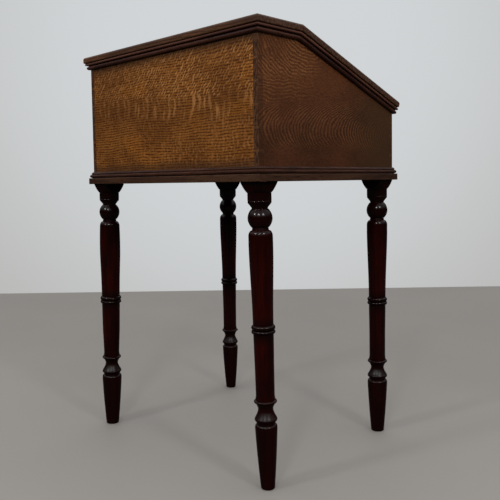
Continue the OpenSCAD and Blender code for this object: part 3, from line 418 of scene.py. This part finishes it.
def flowing_lines(g, y, z):
    """The pale lines of plain-sawn oak and the dark gaps between its arches, from 0 to 1."""
    shaky = g.drift(g.vector(3.0, g.times(y, 34.0), g.times(z, 40.0)), 1.0, 0.0060, 3.0)
    slow = g.drift(g.place, 6.0, 0.012)

    # Arches: round tips about a level line, whose arms flatten out towards the front
    bend = g.drift(g.vector(g.times(y, 5.0), 3.0, z), 1.0, 0.008)
    rise = g.less(g.add(z, bend), ARCH_LEVEL)
    arches = g.wave(g.add(g.add(g.add(y, slow), g.times(rise, rise, 19.0)), shaky), ARCH_PITCH)
    spread = g.less(rise, g.times(g.less(0.20, y), 0.09))
    inside = g.times(g.range(rise, -0.050, -0.028), g.range(spread, 0.066, 0.044))
    gaps = g.times(g.range(arches, 0.55, 0.0), inside)

    # Arcs about a place near the bend, and level lines between them and the arches
    dy = g.less(g.add(y, slow), ARC_Y)
    dz = g.less(z, ARC_Z)
    arcs = g.math("SQRT", g.add(g.times(dy, dy, 0.60), g.times(dz, dz)))
    arcs = g.wave(g.add(arcs, shaky), ARC_PITCH)
    levels = g.wave(g.add(g.add(z, g.times(slow, 0.7)), shaky), ARC_PITCH)
    high = g.range(g.add(z, g.times(y, 0.12)), 0.956, 0.984)
    middle = g.range(spread, 0.050, 0.072)

    lines = g.blend(middle, g.times(g.range(arches, 0.40, 1.0), inside, 0.44),
                    g.times(g.range(levels, 0.45, 1.0), g.range(y, 0.06, 0.22, 0.12, 0.75)))
    lines = g.blend(high, lines,
                    g.times(g.range(arcs, 0.35, 1.0), g.range(y, 0.02, 0.12, 0.20, 1.0)))
    beads = g.noise(g.vector(0.0, g.times(y, 170.0), g.times(z, 170.0)), 1.0, 2.0)
    clear = g.range(g.noise(g.place, 8.0, 2.0), 0.36, 0.54, 0.35, 1.0)
    return g.times(lines, clear, g.range(beads, 0.25, 0.55, 0.45, 1.0)), gaps


def flowing_oak(name):
    """Plain-sawn oak in the YZ plane, its grain along Y: nested arches low down, whose tips
    point to the back, and arcs round a place near the upper edge."""
    g = material_graph(name)
    x, y, z = g.parts(g.place)
    lines, gaps = flowing_lines(g, y, z)
    run = g.vector(1.0, g.times(y, 60.0), g.times(z, 600.0))
    pores = g.range(g.noise(run, 1.0, 2.0), 0.52, 0.38)
    tone = g.range(g.noise(g.stretch(g.place, (3, 7, 12)), 1.0, 3.0), 0.35, 0.65)
    warm = g.range(g.add(g.times(y, 0.20), z), 0.85, 0.97)
    colour = g.layered(
        g.mix(tone, *FLOWING["ground"]),
        (warm, 0.44, FLOWING["warm"]),
        (g.range(z, 0.86, 0.79), 0.22, FLOWING["low"]),
        (gaps, 0.35, FLOWING["gap"]),
        (lines, 0.88, FLOWING["line"]),
        (pores, 0.30, FLOWING["pore"]),
    )
    colour = g.tinted(colour, speckle(g, 0.30))
    green = g.range(g.less(y, g.drift(g.place, 7.0, 0.05)), -0.03, -0.22)
    joint = g.range(y, SIDE_JOINT - 0.0002, SIDE_JOINT + 0.0002)
    colour = g.layered(colour, (green, 0.62, FLOWING["green"]), (joint, 0.40, FLOWING["joint"]))
    # Painted shade with some soiling: darker in corners and under the mouldings
    colour = shade_and_dirt(g, colour, FLOWING["dirt_and_shade"], OAK_CORNER)
    end = g.range(g.size(g.parts(g.facing)[1]), 0.5, 0.6)
    ticks = g.noise(g.vector(g.times(x, 260.0), 0.0, g.times(z, 60.0)), 1.0, 3.0)
    colour = g.mix(end, colour, g.mix(g.range(ticks, 0.35, 0.65), *FLOWING["end"]))
    rough = g.range(tone, 0.0, 1.0, 0.50, 0.42)
    height = g.add(g.times(pores, -0.8), g.times(lines, 0.3))
    return g.finish(colour, rough, height, OAK_BUMP, **{SHEEN: OAK_SHEEN})


def sawn_oak(name, turn=0.0, seed=0.0):
    """Oak with its grain along X, for the flat top, the slope and the front: long pointed
    figures, fine pores, worn arrises and dark ends. turn lays it on the slope, in degrees."""
    g = material_graph(name)
    at = g.stretch(g.place, turn=(turn, 0, 0))
    x, y, z = g.parts(g.stretch(at, shift=(seed, seed, seed)))
    depth = g.add(y, z)
    bend = g.drift(g.vector(g.times(x, 1.6), g.times(depth, 5.0), seed), 1.0, 0.030, 1.0)
    lines = g.range(g.wave(g.add(depth, bend), SAWN_PITCH), 0.35, 1.0)
    run = g.vector(g.times(x, 14.0), g.times(y, 260.0), g.times(z, 260.0))
    fine = g.noise(run, 1.0, 3.0, 0.6)
    run = g.vector(g.times(x, 40.0), g.times(y, 700.0), g.times(z, 700.0))
    pores = g.range(g.noise(run), 0.52, 0.38)
    tone = g.range(g.noise(g.stretch(at, (4, 18, 18)), 1.0, 3.0), 0.36, 0.64)
    colour = g.layered(
        g.mix(tone, *SAWN["ground"]),
        (g.times(lines, g.range(fine, 0.35, 0.6)), 0.80, SAWN["line"]),
        (pores, 0.50, SAWN["pore"]),
    )
    colour = rubbed(g, colour, SAWN["worn"], share=0.45)
    # Painted shade with some soiling: darker in corners and under what stands near
    colour = shade_and_dirt(g, colour, SAWN["dirt_and_shade"], 0.008, 0.6)
    end = g.range(g.size(g.parts(g.facing)[0]), 0.55, 0.75)
    ticks = g.noise(g.vector(0.0, g.times(y, 190.0), g.times(z, 190.0)), 1.0, 3.0, 0.6)
    grain = g.mix(g.range(ticks, 0.38, 0.62), *SAWN["end"])
    colour = g.mix(g.times(end, 0.75), colour, grain)
    rough = g.range(fine, 0.3, 0.7, 0.42, 0.32)
    height = g.times(g.most(pores, g.times(lines, 0.4)), -1.0)
    return g.finish(colour, rough, height, 0.00010, **{SHEEN: 0.2})


# Other woods and metals

TOP_MOULDING = {"low": (0.0220, 0.0066, 0.0036), "high": (0.0460, 0.0145, 0.0080),
                "pore": (0.0030, 0.0011, 0.0008), "worn": (0.0750, 0.0360, 0.0220),
                "rough": 0.28, "grimy": 0.4, SHEEN: 0.30}
BASE_MOULDING = {"low": (0.0200, 0.0064, 0.0034), "high": (0.0400, 0.0140, 0.0074),
                 "pore": (0.0036, 0.0013, 0.0009), "rough": 0.36, SHEEN: 0.10}
BAND = {"low": (0.0238, 0.0089, 0.0042), "high": (0.0470, 0.0200, 0.0094),
        "pore": (0.0080, 0.0030, 0.0018), "worn": (0.1100, 0.0560, 0.0340),
        "rough": 0.38, SHEEN: 0.2}
INNER = {"low": (0.190, 0.105, 0.048), "high": (0.290, 0.175, 0.088),
         "pore": (0.090, 0.050, 0.024), "rough": 0.62}
SLOPE = 19.7                            # the writing slope, in degrees

# The height of the top moulding's upper edge, level and along the slope's own upright, how
# far below it the painted highlight on the upper bead fades out, and that highlight's colours
# The upper bead is painted paler as painted light, standing in for light that the nosing's shade
# keeps from it
CREST_LEVEL, CREST_SLOPE = 1.053, 0.9476
CREST_FADE = 0.0072, 0.0056
CREST_PAINTED_LIGHT = (0.0600, 0.0210, 0.0130), (0.1100, 0.0440, 0.0270)

POLISHED = {
    "ground": ((0.0062, 0.0003, 0.0001), (0.0165, 0.0008, 0.0001)),
    # Painted shade under the block and about the ring, and darker towards the foot
    "dark": (0.0034, 0.0004, 0.0001),
    "pore": (0.0030, 0.0003, 0.0001),
    # Painted shade with some soiling, for the turning's hollows
    "dirt_and_shade": (0.0016, 0.0004, 0.0002),
}


def streaky_wood(name, axis, low, high, pore, rough, seed=0.0, turn=0.0, worn=None, crest=None,
                 grimy=0.6, **shader):
    """Wood with streaks along X or Y between two colours, and darker pores. crest is the
    height of a moulding's upper edge, whose upper bead gets a paler painted highlight."""
    g = material_graph(name)
    at = g.stretch(g.place, turn=(turn, 0, 0))
    x, y, z = g.parts(g.stretch(at, shift=(seed, seed * 0.7, seed * 1.3)))
    run = g.vector(x, y, z) if axis == "x" else g.vector(y, x, z)
    streaks = g.noise(g.stretch(run, (6, 110, 110)), 1.0, 4.0, 0.6, 0.3)
    broad = g.noise(g.stretch(run, (3, 16, 16)), 1.0, 3.0)
    pores = g.range(g.noise(g.stretch(run, (30, 620, 620))), 0.50, 0.36)
    share = g.range(g.add(g.times(streaks, 0.5), g.times(broad, 0.5)), 0.40, 0.60)
    colour = g.layered(g.mix(share, low, high), (pores, 0.6, pore))
    if worn:
        colour = rubbed(g, colour, worn)
    # Painted shade with some soiling: the pore colour darkens corners and quirks and the wood
    # under what stands near
    colour = shade_and_dirt(g, colour, pore, 0.006, grimy)
    if crest:
        # Painted highlight: the upper bead is painted paler
        upper = g.range(g.parts(at)[2], *(crest - fade for fade in CREST_FADE))
        colour = g.layered(colour, (upper, 0.8, g.mix(share, *CREST_PAINTED_LIGHT)))
    roughness = g.range(streaks, 0.3, 0.7, rough + 0.06, rough - 0.04)
    return g.finish(colour, roughness, g.times(pores, -1.0), 0.00008, **shader)


def polished_wood(name):
    """The legs' wood: a red-brown shaft under dark polish, painted nearly black as painted shade
    towards the block and about the ring, darker towards the foot, and duller on the bell."""
    g = material_graph(name)
    x, y, z = g.parts(g.place)
    run = g.vector(g.times(x, 110.0), g.times(y, 110.0), g.times(z, 6.0))
    streaks = g.noise(run, 1.0, 4.0, 0.6)
    run = g.vector(g.times(x, 20.0), g.times(y, 20.0), g.times(z, 7.0))
    patches = g.noise(run, 1.0, 3.0)
    run = g.vector(g.times(x, 620.0), g.times(y, 620.0), g.times(z, 30.0))
    pores = g.range(g.noise(run), 0.50, 0.36)
    share = g.range(g.add(g.times(streaks, 0.5), g.times(patches, 0.5)), 0.40, 0.60)
    # Painted shade: nearly black under the block, where the case above shades the leg, and about
    # the ring; darker towards the foot as well
    dark = g.most(g.range(z, 0.50, 0.655), g.range(z, 0.30, 0.17, 0.0, 0.75))
    dark = g.most(dark, g.range(g.size(g.less(z, RING_AT * MM)), 0.040, 0.010))
    colour = g.layered(
        g.mix(share, *POLISHED["ground"]),
        (dark, 0.85, POLISHED["dark"]),
        (pores, 0.50, POLISHED["pore"]),
    )
    # Painted shade with some soiling: darker in the turning's hollows
    colour = shade_and_dirt(g, colour, POLISHED["dirt_and_shade"], 0.010, 0.8)
    bell = g.range(g.size(g.less(z, (BELL_AT + BELL_R) * MM)), 0.018, 0.010, 0.0, 0.15)
    roughness = g.add(g.range(streaks, 0.3, 0.7, 0.19, 0.17), bell)
    return g.finish(colour, roughness, g.times(pores, -1.0), 0.00002, **{SHEEN: 0.20})


def metal(name, low, high, rough):
    """Aged metal: dull patches and fine scratches."""
    g = material_graph(name)
    patches = g.noise(g.place, 60.0, 4.0, 0.6)
    scratches = g.noise(g.stretch(g.place, (900, 60, 900)))
    colour = g.mix(g.range(patches, 0.38, 0.62), low, high)
    roughness = g.range(g.add(patches, g.times(scratches, 0.4)), 0.5, 0.9, rough + 0.15, rough)
    return g.finish(colour, roughness, scratches, 0.00003, Metallic=1.0)


add_camera()

back_oak = quartered_oak("quartered_oak")
side_oak = flowing_oak("flowing_oak")
board_oak = {"top_board": sawn_oak("top_oak"), "front_board": sawn_oak("front_oak", seed=2.3)}
for index, name in enumerate(("lid_board_upper", "lid_board_middle", "lid_board_lower")):
    board_oak[name] = sawn_oak("oak_" + name, -SLOPE, 0.4 + 0.7 * index)
moulding_x = streaky_wood("moulding_x", "x", crest=CREST_LEVEL, **TOP_MOULDING)
moulding_y = streaky_wood("moulding_y", "y", seed=0.4, crest=CREST_LEVEL, **TOP_MOULDING)
moulding_slope = streaky_wood("moulding_slope", "y", seed=0.9, turn=-SLOPE, crest=CREST_SLOPE,
                              **TOP_MOULDING)
base_x = streaky_wood("base_x", "x", seed=3.5, **BASE_MOULDING)
base_y = streaky_wood("base_y", "y", seed=3.9, **BASE_MOULDING)
band_x = streaky_wood("band_x", "x", seed=1.4, **BAND)
band_y = streaky_wood("band_y", "y", seed=1.9, **BAND)
inner_x = streaky_wood("inner_x", "x", seed=2.3, **INNER)
inner_y = streaky_wood("inner_y", "y", seed=2.7, **INNER)
batten = streaky_wood("batten", "y", seed=3.1, turn=-SLOPE, **INNER)
leg_wood = polished_wood("leg_wood")
brass = metal("aged_brass", (0.30, 0.19, 0.07), (0.55, 0.38, 0.15), 0.28)
steel = metal("filed_steel", (0.20, 0.19, 0.18), (0.36, 0.35, 0.34), 0.30)


def material_of(name):
    """Each CAD node's material, from its name."""
    if name.startswith("leg_"):
        return leg_wood
    if name == "back_board":
        return back_oak
    if name in ("left_side_board", "right_side_board"):
        return side_oak
    if name in board_oak:
        return board_oak[name]
    if name.startswith("top_moulding"):
        return moulding_slope if "slope" in name else moulding_y if "flat" in name else moulding_x
    if name.startswith("base_moulding"):
        return base_x if name.endswith(("back", "front")) else base_y
    if name.startswith("base_band"):
        return band_x if name.endswith(("back", "front")) else band_y
    if name in ("lock_bolt", "key"):
        return steel
    if name.startswith("lid_batten"):
        return batten
    if name in ("base_rail_left", "base_rail_right"):
        return inner_y
    if name.startswith(("bottom_board", "base_rail", "corner_block", "top_glue")):
        return inner_x
    return brass


# Legs, turned finer than the CAD's

def arc(cx, cy, r, a0, a1, steps=10):
    """Part of a circle between two angles in degrees."""
    angles = [math.radians(a0 + (a1 - a0) * i / steps) for i in range(steps + 1)]
    return [(cx + r * math.cos(a), cy + r * math.sin(a)) for a in angles]


def taper(z0, d0, z1, d1, ease=0.0, bulge=0.0, steps=24):
    """A turned curve. ease 0 is a straight taper, 1 starts and ends level."""
    curve = []
    for i in range(steps + 1):
        t = i / steps
        share = ease * (1 - math.cos(math.pi * t)) / 2 + (1 - ease) * t
        radius = (d0 + (d1 - d0) * share) / 2 + bulge * math.sin(math.pi * t)
        curve.append((radius, z0 + (z1 - z0) * t))
    return curve


def bead(z0, z1, root_d, d, power=0.5, steps=24):
    """A turned bead or ball, round like a power of a sine, closest at its ends."""
    curve = []
    for i in range(steps + 1):
        t = (1 - math.cos(math.pi * i / steps)) / 2
        swell = max(math.sin(math.pi * t), 0) ** power
        curve.append((root_d / 2 + (d - root_d) / 2 * swell, z0 + (z1 - z0) * t))
    return curve


def shoulder(z0, d0, z1, d1, steps=14):
    """A quarter curve that leaves the first diameter upright and reaches the second level."""
    angles = [math.pi / 2 * i / steps for i in range(steps + 1)]
    return [(d1 / 2 + (d0 - d1) / 2 * math.cos(a), z0 + (z1 - z0) * math.sin(a)) for a in angles]


def hollow(z0, d0, z1, d1, power=1.4, steps=14):
    """A hollow curve between two diameters, upright at the thinner one."""
    curve = []
    for i in range(steps + 1):
        t = i / steps
        away = t if d0 < d1 else 1 - t
        curve.append((min(d0, d1) / 2 + abs(d0 - d1) / 2 * away ** power, z0 + (z1 - z0) * t))
    return curve


def block_underside(steps=40, power=0.75):
    """The rounded underside of the block, which the block's four faces then cut."""
    corner = BLOCK * math.sqrt(2) + FILLET
    curve = []
    for i in range(steps + 1):
        t = (i / steps) ** 2
        radius = COLLAR_D / 2 + (corner - COLLAR_D) / 2 * t ** power
        curve.append((radius, LEG_H - BLOCK_DROP * (1 - t)))
    return curve


def leg_outline():
    """Radius and height of the turning, from the floor up, past both ends by TRIM."""
    cap = LEG_H - COLLAR_DROP
    neck = LEG_H - NECK_DROP
    shaft_top = neck - BALL_H
    ring0, ring1 = RING_AT - RING_H / 2, RING_AT + RING_H / 2
    split = ring0 + RING_LOW_H
    foot = FOOT_END_D / 2 - FOOT_EDGE_R
    cove_d = ANKLE_RING_D - 2 * ANKLE_RING_R
    cove_top = ANKLE_RING_AT + ANKLE_COVE_H
    top = BLOCK * math.sqrt(2) + FILLET
    return (
        [(foot, -TRIM)]
        + arc(foot, FOOT_EDGE_R, FOOT_EDGE_R, -90, -10)
        + taper(FOOT_EDGE_R + QUIRK, FOOT_END_D, FOOT_AT, FOOT_D, 0, FOOT_SWELL)
        + shoulder(FOOT_AT + LINE_H, FOOT_D, BELL_GROOVE_AT - FILLET, BELL_GROOVE_D)
        + [(BELL_GROOVE_D / 2, BELL_GROOVE_AT + FILLET)]
        + arc(ANKLE_RING_D / 2 - BELL_R, BELL_AT - BELL_FLAT, BELL_R, -60, 50)
        + hollow(BELL_AT + BELL_FLAT, ANKLE_RING_D - 2 * FILLET, ANKLE_NECK_AT - FILLET,
                 ANKLE_NECK_D)
        + hollow(ANKLE_NECK_AT + FILLET, ANKLE_NECK_D, ANKLE_RING_AT - ANKLE_RING_R, cove_d)
        + arc(ANKLE_RING_D / 2 - ANKLE_RING_R, ANKLE_RING_AT, ANKLE_RING_R, -60, 60)
        + hollow(ANKLE_RING_AT + ANKLE_RING_R, cove_d, cove_top, ANKLE_D)
        + taper(cove_top + FILLET, ANKLE_D, ring0 - FILLET, WAIST_D, 0.3)
        + bead(ring0, split, WAIST_D + 2 * QUIRK, RING_D)
        + [(RING_D / 2 - FILLET, split)]
        + bead(split + QUIRK, ring1, WAIST_D + 2 * QUIRK, RING_D, 0.6)
        + taper(ring1 + FILLET, WAIST_D + QUIRK, LEG_H - SWELL_DROP, SHAFT_D, 0.95)
        + shoulder(shaft_top - SHOULDER_H, SHAFT_D - QUIRK, shaft_top - 2 * LINE_H,
                   NECK_D + 4 * QUIRK)
        + bead(shaft_top, neck, NECK_D, BALL_D, 0.7, 40)
        + [(NECK_D / 2 + QUIRK, neck + LINE_H), (COLLAR_D / 2 - QUIRK, cap - 2 * QUIRK)]
        + bead(cap, cap + LINE_H, COLLAR_D - 2 * QUIRK, COLLAR_D)
        + [(COLLAR_D / 2 - QUIRK, cap + LINE_H + QUIRK), (COLLAR_D / 2, cap + LINE_H + FILLET)]
        + block_underside()
        + [(top / 2, LEG_H + TRIM)]
    )


def between(height, knots):
    """The value at a height, on straight lines between knots of a height and a value."""
    value = knots[0][1]
    for (z0, v0), (z1, v1) in zip(knots, knots[1:]):
        if height > z0:
            value = v0 + (v1 - v0) * min((height - z0) / (z1 - z0), 1)
    return value


def own_outline(name):
    """A leg's outline with what its own turning adds."""
    ankle, ring, ball, foot, shaft = TURNED[name]
    ball_at = LEG_H - NECK_DROP - BALL_H / 2
    rises = ((0, 0), (ANKLE_NECK_AT, ankle), (RING_AT, ring), (ball_at, ball),
             (LEG_H - BLOCK_DROP, 0))
    gains = ((0, foot), (FOOT_AT, foot), (ANKLE_NECK_AT, 0), (ANKLE_RING_AT + ANKLE_COVE_H, 0),
             (ANKLE_RING_AT + SHAFT_FROM_ANKLE, shaft),
             (LEG_H - SWELL_DROP - SHAFT_FROM_SWELL, shaft), (ball_at - BALL_H, 0))
    return [(r + between(z, gains), z + between(z, rises)) for r, z in leg_outline()]


def turned(outline):
    """A closed mesh of an outline turned about Z, in metres."""
    mesh = bmesh.new()
    angles = [2 * math.pi * i / LEG_SEGMENTS for i in range(LEG_SEGMENTS)]
    rings = []
    for radius, height in outline:
        rings.append([
            mesh.verts.new((radius * math.cos(a) * MM, radius * math.sin(a) * MM, height * MM))
            for a in angles
        ])
    for low, high in zip(rings, rings[1:]):
        for i in range(LEG_SEGMENTS):
            j = (i + 1) % LEG_SEGMENTS
            mesh.faces.new((low[i], low[j], high[j], high[i]))
    mesh.faces.new(reversed(rings[0]))
    mesh.faces.new(rings[-1])
    return mesh


def trimmed(mesh, point, outward):
    """Cuts away what lies beyond a plane and closes the mesh there."""
    everything = mesh.verts[:] + mesh.edges[:] + mesh.faces[:]
    cut = bmesh.ops.bisect_plane(mesh, geom=everything, dist=1e-7, plane_co=point,
                                 plane_no=outward, clear_outer=True)
    edges = [e for e in cut["geom_cut"] if isinstance(e, bmesh.types.BMEdge)]
    bmesh.ops.holes_fill(mesh, edges=edges, sides=0)


def leg_mesh(name, side, facing):
    """A turned leg with its block and peg, where it stands. side and facing are its signs
    along X and Y."""
    mesh = turned(own_outline(name))
    half = BLOCK / 2 * MM
    for outward in ((1, 0, 0), (-1, 0, 0), (0, 1, 0), (0, -1, 0)):
        trimmed(mesh, Vector(outward) * half, outward)
    lean = -side * BACK_LEAN if facing > 0 else 0.0
    top = Vector((side * LEG_X, facing * LEG_Y, LEG_H)) * MM
    stand = (Matrix.Translation(top) @ Matrix.Rotation(lean, 4, "Y")
             @ Matrix.Translation((0, 0, -LEG_H * MM)))
    mesh.transform(stand)
    trimmed(mesh, (0, 0, 0), (0, 0, -1))
    trimmed(mesh, (0, 0, LEG_H * MM), (0, 0, 1))
    peg_l = (PEG_TOP - LEG_H) * MM
    bmesh.ops.create_cone(mesh, cap_ends=True, segments=LEG_SEGMENTS // 2,
                          radius1=PEG_D / 2 * MM, radius2=PEG_D / 2 * MM, depth=peg_l,
                          matrix=stand @ Matrix.Translation((0, 0, LEG_H * MM + peg_l / 2)))
    return mesh


def add_leg(name, side, facing):
    """One turned leg, in the place of the CAD's."""
    data = bpy.data.meshes.new(name)
    mesh = leg_mesh(name, side, facing)
    mesh.to_mesh(data)
    mesh.free()
    data.shade_smooth()
    data.set_sharp_from_angle(angle=SMOOTH_BELOW)
    data.materials.append(leg_wood)
    leg = bpy.data.objects.new("turned_" + name, data)
    bpy.context.collection.objects.link(leg)
    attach(leg, "root")
    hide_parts(name)


for place_y, facing in (("front", -1), ("back", 1)):
    for place_x, side in (("left", -1), ("right", 1)):
        add_leg(f"leg_{place_y}_{place_x}", side, facing)

for name, thing in nodes.items():
    for place in thing.material_slots:
        place.material = material_of(name)


# Floor, light and background

FLOOR_END = 2.44        # from the middle of the desk to the floor's far edge, in metres
FLOOR_NEAR = 4.0
FLOOR_SIDE = 5.0
FLOOR_SEEN = (0.187, 0.174, 0.161), (0.211, 0.197, 0.183)
FLOOR_UNSEEN = (0.020, 0.019, 0.018)    # for other rays, so that the dark woods keep their depth
WALL_DIM, WALL_LIT = (0.490, 0.490, 0.482), (0.640, 0.665, 0.680)
WALL_LIT_AT = Vector((0.68, -0.70, 0.20)).normalized()     # where the wall is brightest
WALL_SPREAD = 0.86, 1.0         # cosines from that place where the wall is dim and lit
ROOM_LIGHT, ROOM_HEIGHTS = (0.45, 1.45), (-0.1, 0.9)        # from below and from above
MIRRORED, MIRRORED_HEIGHTS = (0.02, 0.75), (0.15, 0.60)     # the same, as polish mirrors it
LAMPS = (81, 123, 167)          # directions of the lamps from the desk, in degrees
LAMP_LIFT = 31                  # their height over the desk's middle, in degrees
LAMP_AWAY, LAMP_SIDE, LAMP_POWER = 3.2, 0.35, 25.0
MIDDLE = Vector((0, 0, 0.7))


def add_floor():
    """A plain pale floor, whose far edge lies where the photograph's floor ends."""
    mesh = bpy.data.meshes.new("floor")
    corners = [(-FLOOR_SIDE, -FLOOR_END, 0), (FLOOR_SIDE, -FLOOR_END, 0),
               (FLOOR_SIDE, FLOOR_NEAR, 0), (-FLOOR_SIDE, FLOOR_NEAR, 0)]
    mesh.from_pydata(corners, [], [(0, 1, 2, 3)])
    floor = bpy.data.objects.new("floor", mesh)
    floor.rotation_euler = (0, 0, AZIMUTH - math.pi)
    bpy.context.collection.objects.link(floor)
    g = material_graph("floor")
    pale = g.mix(g.noise(g.place, 1.5, 3.0), *FLOOR_SEEN)
    seen = g.node("ShaderNodeLightPath").outputs["Is Camera Ray"]
    mesh.materials.append(g.finish(g.mix(seen, FLOOR_UNSEEN, pale), 0.55, **{SHEEN: 0.2}))


def add_lamps():
    """A row of soft lamps high behind the camera."""
    lift = math.radians(LAMP_LIFT)
    for index, turn in enumerate(math.radians(a) for a in LAMPS):
        data = bpy.data.lights.new(f"lamp_{index}", "AREA")
        data.shape = "SQUARE"
        data.size = LAMP_SIDE
        data.energy = LAMP_POWER
        towards = Vector((math.cos(turn) * math.cos(lift), math.sin(turn) * math.cos(lift),
                          math.sin(lift)))
        lamp = bpy.data.objects.new(f"lamp_{index}", data)
        lamp.location = MIDDLE + LAMP_AWAY * towards
        lamp.rotation_euler = towards.to_track_quat("Z", "Y").to_euler()
        bpy.context.collection.objects.link(lamp)


def add_world():
    """A pale wall for the camera, and a room whose light comes mostly from above."""
    world = bpy.data.worlds.new("room")
    g = Graph(world)
    height = g.parts(g.towards)[2]
    facing_lit = g.node("ShaderNodeVectorMath", {0: g.towards, 1: tuple(WALL_LIT_AT)},
                        operation="DOT_PRODUCT").outputs["Value"]
    wall = g.mix(g.range(facing_lit, *WALL_SPREAD), WALL_DIM, WALL_LIT)
    path = g.node("ShaderNodeLightPath").outputs

    def glow(colour, strength):
        return g.node("ShaderNodeBackground", {"Color": colour, "Strength": strength}).outputs[0]

    shade = glow((1.0, 1.0, 1.0), g.range(height, *ROOM_HEIGHTS, *ROOM_LIGHT))
    gloss = glow((0.95, 0.98, 1.0), g.range(height, *MIRRORED_HEIGHTS, *MIRRORED))
    for rays, seen in (("Is Glossy Ray", gloss), ("Is Camera Ray", glow(wall, 1.0))):
        shade = g.node("ShaderNodeMixShader", {0: path[rays], 1: shade, 2: seen}).outputs[0]
    g.node("ShaderNodeOutputWorld", {"Surface": shade})
    bpy.context.scene.world = world


add_floor()
add_world()
add_lamps()
bpy.context.scene.view_settings.view_transform = "Standard"
